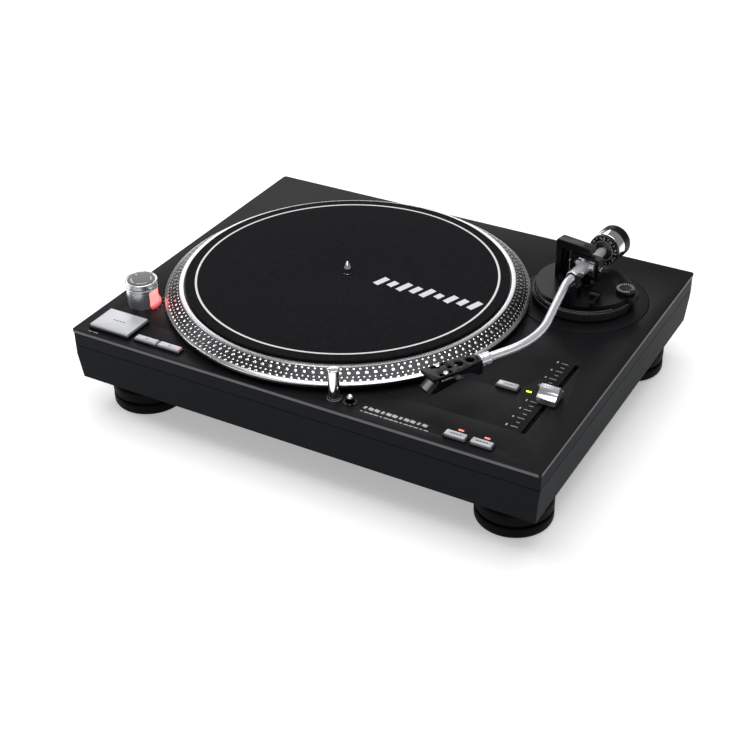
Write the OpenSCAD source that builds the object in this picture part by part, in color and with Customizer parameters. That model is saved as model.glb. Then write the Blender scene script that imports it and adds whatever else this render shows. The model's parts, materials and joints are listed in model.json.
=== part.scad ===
// Direct-drive turntable record player with a statically balanced S-shaped tonearm.
// The origin is on the floor under the middle of the plinth, +Z is up and the front is -Y.
// Lengths are in millimetres and angles in degrees.

/* [Plinth] */
// Width of the deck plate, left to right
plinth_w = 450; // [420:1:560]
// Depth of the deck plate, front to back
plinth_d = 352; // [345:1:440]
// Height of the deck surface above the floor
deck_z = 86.5; // [80:0.5:120]
// Height of the plinth's side, deck surface to underside
plinth_side = 50.5; // [42:0.5:62]
// Thickness of the metal deck plate
deck_sheet = 3; // [2:0.5:5]
// Depth below the deck surface of the seam between cover and base
seam_drop = 16; // [12:0.5:22]
// Wall of the cover and of the base
wall = 4; // [3:0.5:6]
// How far the base draws in towards its underside
base_taper = 3.2; // [0:0.2:6]
// Radius of a foot
foot_r = 33; // [24:0.5:38]

/* [Platter] */
// Outer radius of the platter
platter_r = 166; // [150:0.5:170]
// Height of the platter's top face above the deck
platter_rise = 17; // [15:0.5:24]
// Gap between the platter and the deck
platter_gap = 3.5; // [2:0.5:6]
// Place of the spindle, left or right of the middle
spindle_x = -42; // [-46:0.5:-36]
// Place of the spindle, in front of or behind the middle
spindle_y = -5; // [-8:0.5:4]
// Radius of the record spindle
spindle_r = 3.575; // [3.5:0.005:3.6]
// Height of the spindle above the slipmat
spindle_h = 12; // [8:0.5:16]
// Radius of the bearing shaft
shaft_r = 3.5; // [3:0.1:5]
// Radius of the slipmat
mat_r = 147; // [140:0.5:150]
// Thickness of the slipmat
mat_t = 2.8; // [1:0.1:4]

/* [Controls] */
// Width of the start and stop button
start_w = 41; // [30:0.5:48]
// Depth of the start and stop button
start_d = 30; // [24:0.5:36]
// Width of a speed button
speed_w = 22; // [16:0.5:26]
// Width of a small button at the right
option_w = 17.5; // [12:0.5:22]
// Depth of the speed buttons and the small buttons
bar_d = 6.4; // [5:0.2:9]
// Height of a raised frame round a button
bezel_h = 2.4; // [1.5:0.1:4]
// Travel of a button
button_travel = 1.2; // [0.6:0.1:2]
// Radius of the strobe tower
tower_r = 14.4; // [12:0.2:18]
// Height of the strobe tower with its knob
tower_h = 24.5; // [20:0.5:30]
// Length of the pitch slot
pitch_slot = 111; // [80:1:120]
// Width of the pitch slot
pitch_slot_w = 3.6; // [3:0.1:5]
// Radius of the pop-up lamp's post
lamp_r = 5; // [3:0.1:6]
// Height of the raised lamp above the deck
lamp_h = 28; // [20:0.5:32]

/* [Tonearm] */
// Distance from the spindle to the tonearm's pivot
mount_distance = 214; // [210:0.5:225]
// Direction from the spindle to the pivot, from +X
mount_angle = 24.5; // [22:0.1:26]
// Height of the arm tube's axis above the deck
arm_rise = 34.5; // [34:0.5:40]
// Direction of the arm's rear part at rest, from -Y towards -X
arm_angle = 5.6; // [4:0.1:8]
// Direction square to the horizontal pivots at rest, from -Y towards -X
bearing_angle = 10.5; // [8:0.5:14]
// Direction of the headshell at rest, from -Y towards -X
shell_angle = 30; // [28:0.1:32]
// Radius of the arm tube
tube_r = 3.6; // [3.2:0.1:3.9]
// Radius of the height ring
ring_r = 44.5; // [43:0.5:45.5]
// Radius of the height pillar
pillar_r = 34; // [28:0.5:35]
// Radius of the round plate under the tonearm
arm_plate_r = 59; // [54:0.5:62]
// Radius of the counterweight
weight_r = 15; // [12:0.5:15]
// Running clearance between a shaft and its hole
running = 0.04; // [0.02:0.01:0.09]
// Gap between a moving piece and its neighbour
gap = 0.35; // [0.3:0.05:0.5]

/* [Hidden] */
$fn = 64;

tiny = 0.01;
edge_r = 3;
base_top = deck_z - seam_drop;
base_z = deck_z - plinth_side;
cover_inset = 0.5;
floor_t = 3;
deck_under = deck_z - deck_sheet;
foot_x = plinth_w / 2 - foot_r - 8;
foot_y = plinth_d / 2 - foot_r - 15;

platter_top = deck_z + platter_rise;
platter_low = deck_z + platter_gap;
mat_top = platter_top + mat_t;
platter_web = 4;
rim_inner = platter_r - 18;
bearing_r = shaft_r + 7.5;
bearing_low = base_z + floor_t + 6;

left_edge = -plinth_w / 2;
right_edge = plinth_w / 2;
front_edge = -plinth_d / 2;
start_at = [left_edge + 34, front_edge + 25];
speed_33_at = [start_at[0] + start_w / 2 + speed_w / 2 + 7, front_edge + 14.3];
speed_45_at = [speed_33_at[0] + speed_w + 2.2, speed_33_at[1]];
option_right_at = [right_edge - 56, front_edge + 14.2];
option_left_at = [option_right_at[0] - option_w - 5.2, option_right_at[1]];
fader_at = [right_edge - 34.5, front_edge + 98.7];
reset_at = [fader_at[0] - 37.7, fader_at[1] - 1.7];
pitch_light_at = [fader_at[0] - 19.8, fader_at[1]];
bezel_rim = 1.2;
button_clear = 0.3;
button_root = 4;
tower_at = [left_edge + 28.5, front_edge + 67.7];
tower_split = deck_z + tower_h - 5.6;
window_angle = 34;
window_span = 120;
knob_stem_r = 3;
lamp_at = [spindle_x + (platter_r + lamp_r + 1.2) * cos(63.6), spindle_y - (platter_r + lamp_r + 1.2) * sin(63.6)];
release_at = [lamp_at[0] + 14.6, lamp_at[1] + 0.6];
lamp_sink = lamp_h - 1.5;
cap_rest = -3.5;
cap_len = 19;
cap_w = 16.8;

pivot = [spindle_x + mount_distance * cos(mount_angle), spindle_y + mount_distance * sin(mount_angle)];
arm_plate_at = [pivot[0] - 1, pivot[1] - 0.6];
arm_z = deck_z + arm_rise;
ring_z = deck_z + 1.6;
ring_top = deck_z + 11;
ring_in = pillar_r + 5;
platform_z = ring_top + 0.6;
platform_t = 5.4;
platform_r = 44;
platform_top = platform_z + platform_t;
arch_top = arm_z + 19.5;
arch_reach = 29.5;
arch_depth = 10.8;
arch_beam = 7;
spindle_base_r = spindle_r + 0.2;
sleeve_r = 5.75;
boss_half = 9.2;
antiskate_at = [38, 0];
rest_out = 39.6;
rest_x = 1;
clip_out = tube_r + 7.4;
weight_front = 32;
weight_len = 25;
rear_shaft_r = 3;
lift_out = 22;
lift_rise = 3.6;
bay_x = 10;
bay_w = 150;
bay_h = 24;
bay_z = base_z + 5;
bay_depth = 14;

// ---- helpers ----
module round_rect(w, d, r) {
  square([w - 2 * r, d], center = true);
  square([w, d - 2 * r], center = true);
  for (x = [-1, 1], y = [-1, 1]) {
    translate([x * (w / 2 - r), y * (d / 2 - r)]) circle(r);
  }
}

module slab(w, d, h, r) {
  linear_extrude(h) round_rect(w, d, r);
}

module at(p, z = 0) {
  translate([p[0], p[1], z]) children();
}

module ring(r_out, r_in, h) {
  rotate_extrude() translate([r_in, 0]) square([r_out - r_in, h]);
}

module sector(r, a0, a1, h) {
  span = a1 - a0;
  rotate([0, 0, a0]) rotate_extrude(angle = span) square([r, h]);
}

// Frames of the tonearm: local -Y points to the headshell.
module at_pivot(angle) {
  translate([pivot[0], pivot[1], 0]) rotate([0, 0, -angle]) children();
}

module along_y(y0, y1, r) {
  translate([0, y0, 0]) rotate([-90, 0, 0]) cylinder(r = r, h = y1 - y0);
}

module along_x(x0, x1, r) {
  translate([x0, 0, 0]) rotate([0, 90, 0]) cylinder(r = r, h = x1 - x0);
}

// ---- plinth ----
module deck_plate() {
  color("#1b1b1e")
  difference() {
    translate([0, 0, deck_under]) slab(plinth_w, plinth_d, deck_sheet, edge_r);
    translate([0, 0, deck_under - 1]) {
      at([spindle_x, spindle_y]) cylinder(r = bearing_r + 0.2, h = deck_sheet + 2);
      at(tower_at) cylinder(r = knob_stem_r + 1, h = deck_sheet + 2);
      at(lamp_at) cylinder(r = lamp_r + 0.5, h = deck_sheet + 2);
      at(release_at) cylinder(r = 5.4, h = deck_sheet + 2);
      at(arm_plate_at) cylinder(r = arm_plate_r + 0.3, h = deck_sheet + 2);
      at(start_at) slab(start_w + 2 * button_clear, start_d + 2 * button_clear, deck_sheet + 2, 1);
      for (p = [speed_33_at, speed_45_at]) {
        at(p) slab(speed_w + 2 * button_clear, bar_d + 2 * button_clear, deck_sheet + 2, 0.6);
      }
      for (p = [option_left_at, option_right_at, reset_at]) {
        at(p) slab(option_w + 2 * button_clear, bar_d + 2 * button_clear, deck_sheet + 2, 0.6);
      }
      at(fader_at) slab(pitch_slot_w, pitch_slot, deck_sheet + 2, pitch_slot_w / 2 - 0.2);
    }
  }
}

module plinth_cover() {
  color("#26282b")
  difference() {
    translate([0, 0, base_top]) slab(plinth_w - 2 * cover_inset, plinth_d - 2 * cover_inset, deck_under - base_top, edge_r);
    translate([0, 0, base_top - 1])
      slab(plinth_w - 2 * cover_inset - 2 * wall, plinth_d - 2 * cover_inset - 2 * wall, deck_under - base_top + 2, edge_r);
  }
}

module base_outer(inset, low, high, r) {
  w = plinth_w - 2 * cover_inset - 2 * inset;
  d = plinth_d - 2 * cover_inset - 2 * inset;
  tall = base_top - base_z;
  lean_top = base_taper * (1 - (base_top - high) / tall);
  lean_low = base_taper * (1 - (base_top - low) / tall);
  intersection() {
    translate([0, 0, low]) slab(w, d, high - low, r);
    rotate([90, 0, 0]) linear_extrude(d + 2, center = true)
      polygon([[-w / 2 + base_taper - lean_low, low], [w / 2 - base_taper + lean_low, low],
               [w / 2 - base_taper + lean_top, high], [-w / 2 + base_taper - lean_top, high]]);
    rotate([90, 0, 90]) linear_extrude(w + 2, center = true)
      polygon([[-d / 2 + base_taper - lean_low, low], [d / 2 - base_taper + lean_low, low],
               [d / 2 - base_taper + lean_top, high], [-d / 2 + base_taper - lean_top, high]]);
  }
}

module plinth_base() {
  color("#232629")
  difference() {
    base_outer(0, base_z, base_top, edge_r);
    translate([0, 0, base_z + floor_t])
      slab(plinth_w - 2 * (wall + base_taper + 1), plinth_d - 2 * (wall + base_taper + 1), seam_drop + plinth_side, edge_r);
    translate([bay_x - bay_w / 2, plinth_d / 2 - bay_depth, bay_z]) cube([bay_w, bay_depth + 5, bay_h]);
    for (x = [-1, 1], y = [-1, 1]) {
      translate([x * foot_x, y * foot_y, base_z - 1]) cylinder(r = 4.2, h = floor_t + 2);
    }
  }
}

module weight_plate() {
  color("#6d7075")
  translate([0, 0, base_z + floor_t])
  difference() {
    slab(plinth_w - 120, plinth_d - 110, 4, 6);
    at([spindle_x, spindle_y], -1) cylinder(r = bearing_r + 4, h = 6);
  }
}

module foot(x, y) {
  neck_top = base_z;
  color("#0d0e10")
  translate([x, y, 0])
  difference() {
    rotate_extrude() polygon([
      [0, 0], [foot_r - 3, 0], [foot_r - 0.8, 1.2], [foot_r, 3], [foot_r, 9.2], [foot_r - 0.8, 10.4],
      [foot_r - 3, 10.8], [foot_r - 3, 12.6], [foot_r - 0.8, 13], [foot_r, 14.2],
      [foot_r, 22], [foot_r - 1.6, 24], [foot_r - 12, 25], [foot_r - 12, neck_top], [0, neck_top]
    ]);
    translate([0, 0, neck_top - 12]) cylinder(r = 4.1, h = 13);
  }
}

module foot_front_left() { foot(-foot_x, -foot_y); }
module foot_front_right() { foot(foot_x, -foot_y); }
module foot_back_left() { foot(-foot_x, foot_y); }
module foot_back_right() { foot(foot_x, foot_y); }

module base_screws() {
  color("#8c8f94")
  for (x = [-1, 1], y = [-1, 1]) {
    translate([x * foot_x, y * foot_y, base_z - 11]) {
      cylinder(r = 3.9, h = 11 + floor_t);
      translate([0, 0, 11 + floor_t]) cylinder(r = 7.5, h = 3.5, $fn = 6);
    }
  }
}

// ---- motor and electronics ----
module motor_stator() {
  color("#9a6a3a")
  translate([spindle_x, spindle_y, deck_z]) {
    difference() {
      ring(46, bearing_r + 1, 2);
      for (a = [0:120:240]) rotate([0, 0, a]) translate([40, 0, -1]) cylinder(r = 1.7, h = 4);
    }
    for (a = [0:40:320]) rotate([0, 0, a]) translate([30, 0, 1.5]) ring(7.5, 3, platter_rise - 12);
  }
}

module bearing_housing() {
  color("#b6b8bc")
  translate([spindle_x, spindle_y, 0])
  difference() {
    union() {
      translate([0, 0, bearing_low]) cylinder(r = bearing_r, h = deck_z + 7 - bearing_low);
      translate([0, 0, deck_under - 4]) cylinder(r = bearing_r + 10, h = 4);
    }
    translate([0, 0, bearing_low + 4]) cylinder(r = shaft_r + running, h = deck_z);
  }
}

module control_board() {
  chips = [[-60, 10, 22, 16, 5], [-20, 22, 14, 14, 3], [10, -18, 30, 12, 8], [45, 20, 12, 20, 11],
  [-55, -22, 16, 10, 9]];
  color("#1f5a36")
  translate([50, front_edge + 75, base_z + floor_t + 9]) {
    translate([-80, -35, 0]) cube([160, 70, 1.6]);
    for (c = chips) translate([c[0], c[1] - c[3] / 2, 1.6]) cube([c[2], c[3], c[4]]);
    for (x = [-70, 70], y = [-28, 28]) translate([x, y, -5]) cylinder(r = 3, h = 5);
  }
}

module transformer() {
  color("#5b5d61")
  translate([-150, plinth_d / 2 - 70, base_z + floor_t + 4]) {
    translate([-28, -23, 0]) cube([56, 46, 3]);
    translate([-24, -20, 3]) cube([48, 40, 20]);
    translate([-14, -26, 5]) cube([28, 52, 15]);
  }
}

// ---- strobe tower and power knob ----
module strobe_housing() {
  color("#c9ccd0")
  at(tower_at, deck_z)
  difference() {
    union() {
      cylinder(r = tower_r - 0.2, h = tower_split - deck_z - gap);
    }
    translate([0, 0, -1]) cylinder(r = tower_r - 2.2, h = tower_split - deck_z - 2.4);
    cylinder(r = knob_stem_r + running, h = tower_h);
    rotate([0, 0, 0])
      translate([0, 0, -1]) sector(tower_r + 2, window_angle - window_span / 2, window_angle + window_span / 2, tower_split - deck_z - 1.6);
  }
}

module strobe_window() {
  a0 = window_angle - window_span / 2 + 1.2;
  a1 = window_angle + window_span / 2 - 1.2;
  color("#ff8f8f")
  at(tower_at, deck_z)
  difference() {
    union() {
      sector(tower_r - 0.6, a0, a1, tower_split - deck_z - 3);
      sector(tower_r + 1.9, a0, a1, 2.2);
    }
    translate([0, 0, -1]) cylinder(r = tower_r - 2.4, h = tower_h);
  }
}

module power_knob() {
  top = tower_h - (tower_split - deck_z);
  color("#c9ccd0")
  at(tower_at, tower_split) {
    difference() {
      rotate_extrude() polygon([[0, 0], [tower_r - 0.2, 0], [tower_r - 0.2, top - 1.6],
      [tower_r + 0.2, top - 1.2],
                                [tower_r + 0.2, top - 0.4], [tower_r - 0.2, top], [0, top]]);
      translate([0, 0, top - 0.5]) cylinder(r = tower_r - 1, h = 1);
    }
    translate([0, 0, deck_under - tower_split - 6])
      cylinder(r = knob_stem_r, h = tower_split - deck_under + 6 + 1);
  }
}

// ---- buttons ----
module bezel(p, w, d, r) {
  at(p, deck_z)
  difference() {
    slab(w + 2 * (bezel_rim + button_clear), d + 2 * (bezel_rim + button_clear), bezel_h, r + 0.4);
    translate([0, 0, -1]) slab(w + 2 * button_clear, d + 2 * button_clear, bezel_h + 2, r);
  }
}

module button(p, w, d, proud, r) {
  at(p, deck_z - button_root) {
    slab(w, d, button_root + proud - 0.5, r);
    translate([0, 0, button_root + proud - 0.5]) slab(w - 0.8, d - 0.8, 0.5, r - 0.2);
  }
}

module start_bezel() { color("#0b0b0d") bezel(start_at, start_w, start_d, 1); }

module button_bezels() {
  color("#0b0b0d") {
    for (p = [speed_33_at, speed_45_at]) bezel(p, speed_w, bar_d, 0.6);
    for (p = [option_left_at, option_right_at, reset_at]) bezel(p, option_w, bar_d, 0.6);
  }
}

module start_button() { color("#d3d5d8") button(start_at, start_w, start_d, 4.4, 1); }
module speed_button_33() { color("#d3d5d8") button(speed_33_at, speed_w, bar_d, 3.2, 0.6); }
module speed_button_45() { color("#d3d5d8") button(speed_45_at, speed_w, bar_d, 3.2, 0.6); }
module option_button_left() { color("#d3d5d8") button(option_left_at, option_w, bar_d, 3.2, 0.6); }
module option_button_right() { color("#d3d5d8") button(option_right_at, option_w, bar_d, 3.2, 0.6); }
module reset_button() { color("#d3d5d8") button(reset_at, option_w, bar_d, 3.2, 0.6); }

module indicator(p) {
  at(p, deck_z) slab(4.6, 1.7, 0.5, 0.5);
}

module red_indicators() {
  color("#ff3b30")
  for (p = [option_left_at, option_right_at]) indicator([p[0], p[1] + bar_d / 2 + 6.6]);
}

module pitch_indicator() { color("#c8e03a") indicator(pitch_light_at); }

// ---- pop-up lamp ----
module lamp_guide() {
  color("#2c2d30")
  at(lamp_at)
  translate([0, 0, deck_under - 14])
  difference() {
    union() {
      cylinder(r = lamp_r + 3, h = 14);
      translate([0, 0, 11]) cylinder(r = lamp_r + 4, h = 3);
    }
    translate([0, 0, -1]) cylinder(r = lamp_r + running, h = 16);
  }
}

module popup_lamp() {
  low = deck_under - 14.5;
  facing = atan2(spindle_y - lamp_at[1], spindle_x - lamp_at[0]);
  color("#dfe1e4")
  at(lamp_at)
  difference() {
    union() {
      translate([0, 0, low]) cylinder(r = lamp_r, h = deck_z + lamp_h - 0.8 - low);
      translate([0, 0, deck_z + lamp_h - 0.8]) cylinder(r1 = lamp_r, r2 = lamp_r - 0.8, h = 0.8);
    }
    rotate([0, 0, facing]) translate([lamp_r - 2, -1.8, deck_z + lamp_h - 9]) cube([4, 3.6, 6]);
  }
}

module release_guide() {
  color("#141517")
  at(release_at, deck_under - 3)
  difference() {
    union() {
      cylinder(r = 5.2, h = deck_sheet + 3);
      translate([0, 0, deck_sheet + 3]) ring(6.2, 4, 0.6);
    }
    translate([0, 0, -1]) cylinder(r = 1.6 + running, h = 12);
    translate([0, 0, 3.2]) cylinder(r = 4, h = 12);
  }
}

module lamp_release() {
  color("#d9dbde")
  at(release_at)
  rotate_extrude() polygon([[0, deck_under - 9], [1.6, deck_under - 9], [1.6, deck_z + 3.6],
  [2.9, deck_z + 3.9], [2.9, deck_z + 5],
                            [2.2, deck_z + 6.2], [1, deck_z + 6.9], [0, deck_z + 7]]);
}

// ---- pitch fader ----
module fader_body() {
  color("#303236")
  at(fader_at, deck_under - 14)
  difference() {
    translate([-8, -pitch_slot / 2 - 5, 0]) cube([16, pitch_slot + 10, 12]);
    translate([-pitch_slot_w / 2, -pitch_slot / 2, 3]) cube([pitch_slot_w, pitch_slot, 20]);
  }
}

module pitch_cap() {
  stem = pitch_slot_w - 2 * gap;
  color("#cfd1d5")
  at(fader_at) translate([0, cap_rest, 0]) {
    difference() {
      translate([0, 0, deck_z + 1.2]) rotate([90, 0, 90]) linear_extrude(cap_w, center = true)
        polygon([[-cap_len / 2, 0], [cap_len / 2, 0], [cap_len / 2, 4.8], [5, 6.4], [2.6, 12],
        [-2.6, 12], [-5, 6.4], [-cap_len / 2, 4.8]]);
      translate([0, 0, deck_z + 13.6]) cube([cap_w + 2, 0.6, 1.2], center = true);
    }
    translate([-stem / 2, -3, deck_under - 9]) cube([stem, 6, deck_sheet + 10.5]);
  }
}

// ---- tonearm base ----
module arm_base_plate() {
  color("#1d1e21")
  difference() {
    at(arm_plate_at, deck_under) cylinder(r = arm_plate_r, h = deck_sheet + 0.4);
    at(pivot, deck_under - 1) cylinder(r = ring_in - 0.4, h = deck_sheet + 4);
  }
}

module arm_base_sleeve() {
  color("#151618")
  at(pivot, deck_under - 8)
  difference() {
    union() {
      cylinder(r = ring_in - 0.6, h = ring_top - deck_under + 6.5);
      cylinder(r = ring_in + 10, h = 8);
    }
    translate([0, 0, -1]) cylinder(r = pillar_r + running, h = ring_top);
  }
}

module height_scale_cover() {
  low = deck_z + 0.4;
  color("#131417")
  at(pivot)
  difference() {
    translate([0, 0, low]) rotate([0, 0, 140]) rotate_extrude(angle = 112)
      translate([ring_r + 0.6, 0]) square([1.6, ring_top + 0.2 - low]);
    rotate([0, 0, 244]) translate([ring_r - 1, -4.5, ring_top - 8]) cube([10, 9, 4.6]);
  }
}

module height_ring() {
  color("#101114")
  at(pivot, ring_z) ring(ring_r, ring_in - 0.6 + running, ring_top - ring_z);
}

module arm_pillar() {
  low = deck_under - 12;
  relief = platform_t - 0.8;
  color("#17181b")
  difference() {
    union() {
      at(pivot, low) cylinder(r = pillar_r, h = platform_z - low + 1);
      at(pivot, platform_z) cylinder(r = platform_r, h = platform_t);
      at_pivot(0) translate([antiskate_at[0], antiskate_at[1], platform_z])
        cylinder(r = 12, h = platform_t);
    }
    at(pivot, low - 1) cylinder(r = 14, h = platform_z - low - 11);
    at(pivot, platform_top - relief) rotate([0, 0, 22]) rotate_extrude(angle = 86)
      translate([27, 0]) square([30, 8]);
    at(pivot, platform_top - 7) cylinder(r = 3 + running, h = 10);
    at_pivot(0) translate([antiskate_at[0], antiskate_at[1], platform_top - 4])
      cylinder(r = 2 + running, h = 8);
    at_pivot(arm_angle) translate([5, -lift_out, platform_top - 11]) cylinder(r = 2.5 + running, h = 14);
  }
}

module bearing_arch() {
  color("#111214")
  at_pivot(bearing_angle) {
    translate([-arch_reach, -arch_depth / 2, platform_top]) cube([7, arch_depth, arch_top - platform_top]);
    translate([-arch_reach, -arch_depth / 2, arch_top - arch_beam])
      cube([arch_reach - 6, arch_depth, arch_beam]);
    difference() {
      translate([-8, -arch_depth / 2, arch_top - arch_beam]) cube([13.5, arch_depth, arch_beam]);
      translate([0, 0, arch_top - arch_beam - 1]) cylinder(r = 2.6 + gap, h = arch_beam + 3);
    }
    difference() {
      translate([0, 0, platform_top]) cylinder(r = 9, h = 1.2);
      translate([0, 0, platform_top - 1]) cylinder(r = 3 + gap, h = 4);
    }
  }
}

// The cup through which each horizontal pivot passes into the sleeve.
module pivot_tip(clearance) {
  along_x(5.8, boss_half + 0.8, 2 + clearance);
}

module gimbal_frame() {
  half_w = 14.5;
  half_h = 10.5;
  color("#141518")
  at_pivot(bearing_angle) translate([0, 0, arm_z]) {
    difference() {
      translate([-half_w, -4, -half_h]) cube([2 * half_w, 8, 2 * half_h]);
      translate([-half_w + 3.5, -5, -half_h + 3]) cube([2 * half_w - 7, 10, 2 * half_h - 6]);
    }
    translate([0, 0, platform_top + 1.6 - arm_z])
      cylinder(r = 5, h = arm_z - half_h - platform_top - 1.6 + 1);
    translate([0, 0, platform_top - 6 - arm_z]) cylinder(r = 3, h = 9);
    translate([0, 0, half_h - 1]) cylinder(r = 2.6, h = arch_top - arm_z - half_h + 1.6);
    for (s = [0, 180]) rotate([0, 0, s]) {
      pivot_tip(0);
      along_x(boss_half + 0.5, half_w + 2.5, 2.8);
    }
  }
}

module armrest() {
  seat = arm_z - tube_r - 2 * gap;
  color("#101113")
  at_pivot(arm_angle) translate([rest_x, -rest_out, 0]) {
    translate([-4, -4, platform_top]) cube([8, 8, seat - platform_top - 2]);
    translate([-6.2, -4.5, seat - 3]) cube([clip_out + 1.7, 9, 3]);
    translate([clip_out - 5.2, -4.5, seat - 1]) cube([2.9, 9, tube_r + 3]);
    for (y = [-4.5, 3.3]) translate([clip_out - 3.1, y, 0]) {
      translate([0, 0, arm_z]) cube([3.1, 1.2, 3.6]);
      translate([3.1, 0, arm_z + 1.8]) along_y(0, 1.2, 1.8);
    }
    translate([clip_out, 0, arm_z + 1.8]) along_y(-4, 4, 0.7);
  }
}

module armrest_clip() {
  color("#0c0d0f")
  at_pivot(arm_angle)
  translate([rest_x + clip_out, -rest_out, arm_z + 1.8]) difference() {
    union() {
      along_y(-2.9, 2.9, 1.7);
      translate([-0.8, -2.9, 0]) cube([1.8, 5.8, 11]);
      translate([0.9, -2.9, 9.2]) cube([2.6, 5.8, 1.8]);
    }
    along_y(-4, 4, 0.7 + running);
  }
}

module antiskate_knob() {
  color("#151619")
  at_pivot(0) translate([antiskate_at[0], antiskate_at[1], 0]) {
    translate([0, 0, platform_top + gap]) cylinder(r = 8.5, h = 3.8);
    translate([0, 0, platform_top - 3.6]) cylinder(r = 2, h = 5);
  }
}

module cue_lever() {
  color("#0f1012")
  at_pivot(0) translate([19, -23, platform_top + 3.2]) {
    along_x(-5, 4, 2.2);
    translate([1.4, -14, -1.2]) cube([2.6, 14, 2.4]);
    translate([2.7, -14, -1.2]) cylinder(r = 2.8, h = 2.4);
  }
}

module lift_bar() {
  bar_top = arm_z - sleeve_r - gap - lift_rise;
  color("#1a1b1d")
  at_pivot(arm_angle) {
    translate([0, 0, bar_top - 2.2]) rotate([0, 0, 208]) rotate_extrude(angle = 76)
      translate([lift_out - 1.5, 0]) square([3, 2.2]);
    translate([5, -lift_out, platform_top - 6.5]) cylinder(r = 2.5, h = bar_top - 1 - platform_top + 6.5);
  }
}

// ---- tonearm ----
// The tube's centre line: straight, a bend outwards, straight, a bend inwards, straight.
bend_a = 60;
bend_b = 86.5;
outward = 9.6;
turn_a = arm_angle + outward;
turn_b = shell_angle + outward;
straight_a = 28.4;
straight_b = 61.8;
straight_c = 26;
// The straights run a little way into each bend, which is slightly fuller.
lap = 1.5;
swell = 0.06;

module bend(radius, turn, side, r) {
  // turn towards local -X for side = 1 and towards +X for side = -1
  translate([-side * radius, 0, 0]) rotate([0, 0, side > 0 ? -turn : 180])
    rotate_extrude(angle = turn) translate([radius, 0]) circle(r);
}

module after_bend(radius, turn, side) {
  translate([-side * radius, 0, 0]) rotate([0, 0, -side * turn])
    translate([side * radius, 0, 0]) children();
}

module arm_path(r, start) {
  along_y(-straight_a - lap, start, r);
  translate([0, -straight_a, 0]) {
    bend(bend_a, turn_a, -1, r + swell);
    after_bend(bend_a, turn_a, -1) {
      along_y(-straight_b - lap, lap, r);
      translate([0, -straight_b, 0]) {
        bend(bend_b, turn_b, 1, r + swell);
        after_bend(bend_b, turn_b, 1) along_y(-straight_c, lap, r);
      }
    }
  }
}

// Frame at the tube's front end, local -Y pointing along the headshell.
module at_shell() {
  at_pivot(arm_angle) translate([0, -straight_a, arm_z])
    after_bend(bend_a, turn_a, -1) translate([0, -straight_b, 0])
      after_bend(bend_b, turn_b, 1) translate([0, -straight_c, 0]) children();
}

module arm_tube() {
  color("#d5d7da")
  difference() {
    union() {
      at_pivot(arm_angle) translate([0, 0, arm_z]) {
        arm_path(tube_r, -20);
        along_y(-27.5, 8, sleeve_r);
        along_y(7, 20, sleeve_r - 0.6);
        along_y(19, weight_front - 3, 4.4);
        along_y(weight_front - 4, weight_front + 30, rear_shaft_r);
      }
      at_pivot(bearing_angle) translate([0, 0, arm_z]) along_x(-boss_half, boss_half, 4.2);
    }
    at_pivot(bearing_angle) translate([0, 0, arm_z]) for (s = [0, 180])
      rotate([0, 0, s]) pivot_tip(running);
  }
}

module locking_collar() {
  color("#d5d7da")
  at_shell() difference() {
    union() {
      along_y(-1.5, 8.5, tube_r + 1.6);
      translate([0, 4, -tube_r - 1.2]) rotate([180, 0, 0]) cylinder(r = 1.3, h = 2.2);
    }
    along_y(-3, 12, tube_r + running);
  }
}

shell_len = 51;
shell_w = 18.6;
shell_back = 13;

// The headshell widens from its back end; the inset leaves its wall.
function shell_plan(inset, back, front) = [
  for (s = [1, -1], p = s > 0 ? [[shell_back, back], [shell_back, 8], [shell_w, 24], [shell_w, front]]
                              : [[shell_w, front], [shell_w, 24], [shell_back, 8], [shell_back, back]])
    [s * (p[0] / 2 - inset), -p[1]]
];
shell_top = 3.6;

module headshell() {
  color("#131417")
  at_shell() {
    difference() {
      intersection() {
        rotate([90, 0, -90]) linear_extrude(shell_w, center = true)
          polygon([[2, shell_top], [shell_len, shell_top], [shell_len, 1], [30, 0.6], [14, -3],
          [6, -8.5], [2, -8.5]]);
        translate([0, 0, -10]) linear_extrude(20) polygon(shell_plan(0, 1, shell_len + 1));
      }
      translate([0, 0, -12]) linear_extrude(12 + shell_top - 2.2) polygon(shell_plan(1.6, 6, shell_len - 1.4));
      for (y = [-10, -20.5]) translate([0, y, 0]) cylinder(r = 3.6, h = 10);
      translate([0, -29.5, 0]) cylinder(r = 2, h = 10);
      for (x = [-6.3, 6.3]) translate([x, -37, 0]) slab(3, 12, 10, 1.4);
    }
    along_y(-3, -1.8, tube_r + 1.6);
    translate([shell_w / 2 - tiny, -30, 0]) {
      translate([0, -3.5, 0.9]) cube([4, 7, 1.4]);
      translate([4, 0, 12.2]) rotate([0, 90, -90]) translate([0, 0, -3.5]) rotate_extrude(angle = 38)
        translate([9.9, 0]) square([1.4, 7]);
    }
  }
}

module cartridge() {
  under = shell_top - 2.2;
  color("#0e0f11")
  at_shell() {
    rotate([90, 0, -90]) linear_extrude(14, center = true)
      polygon([[26, under - gap], [45, under - gap], [45, -3], [53, -9.5], [53, -11.5], [46, -12],
      [26, -7.5]]);
    for (x = [-6.3, 6.3]) translate([x, -37, under - 1]) {
      cylinder(r = 1.25, h = 4.4);
      translate([0, 0, 3.2]) cylinder(r = 2.1, h = 1.2);
    }
    translate([0, -48.8, -13.6]) cylinder(r1 = 0.35, r2 = 0.9, h = 3.2);
  }
}

// ---- counterweight ----
module thread_bush() {
  color("#caa96a")
  at_pivot(arm_angle) translate([0, 0, arm_z])
  difference() {
    along_y(weight_front + 4.5, weight_front + weight_len - 2, rear_shaft_r + 2);
    along_y(weight_front, weight_front + weight_len + 2, rear_shaft_r + running);
  }
}

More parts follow.
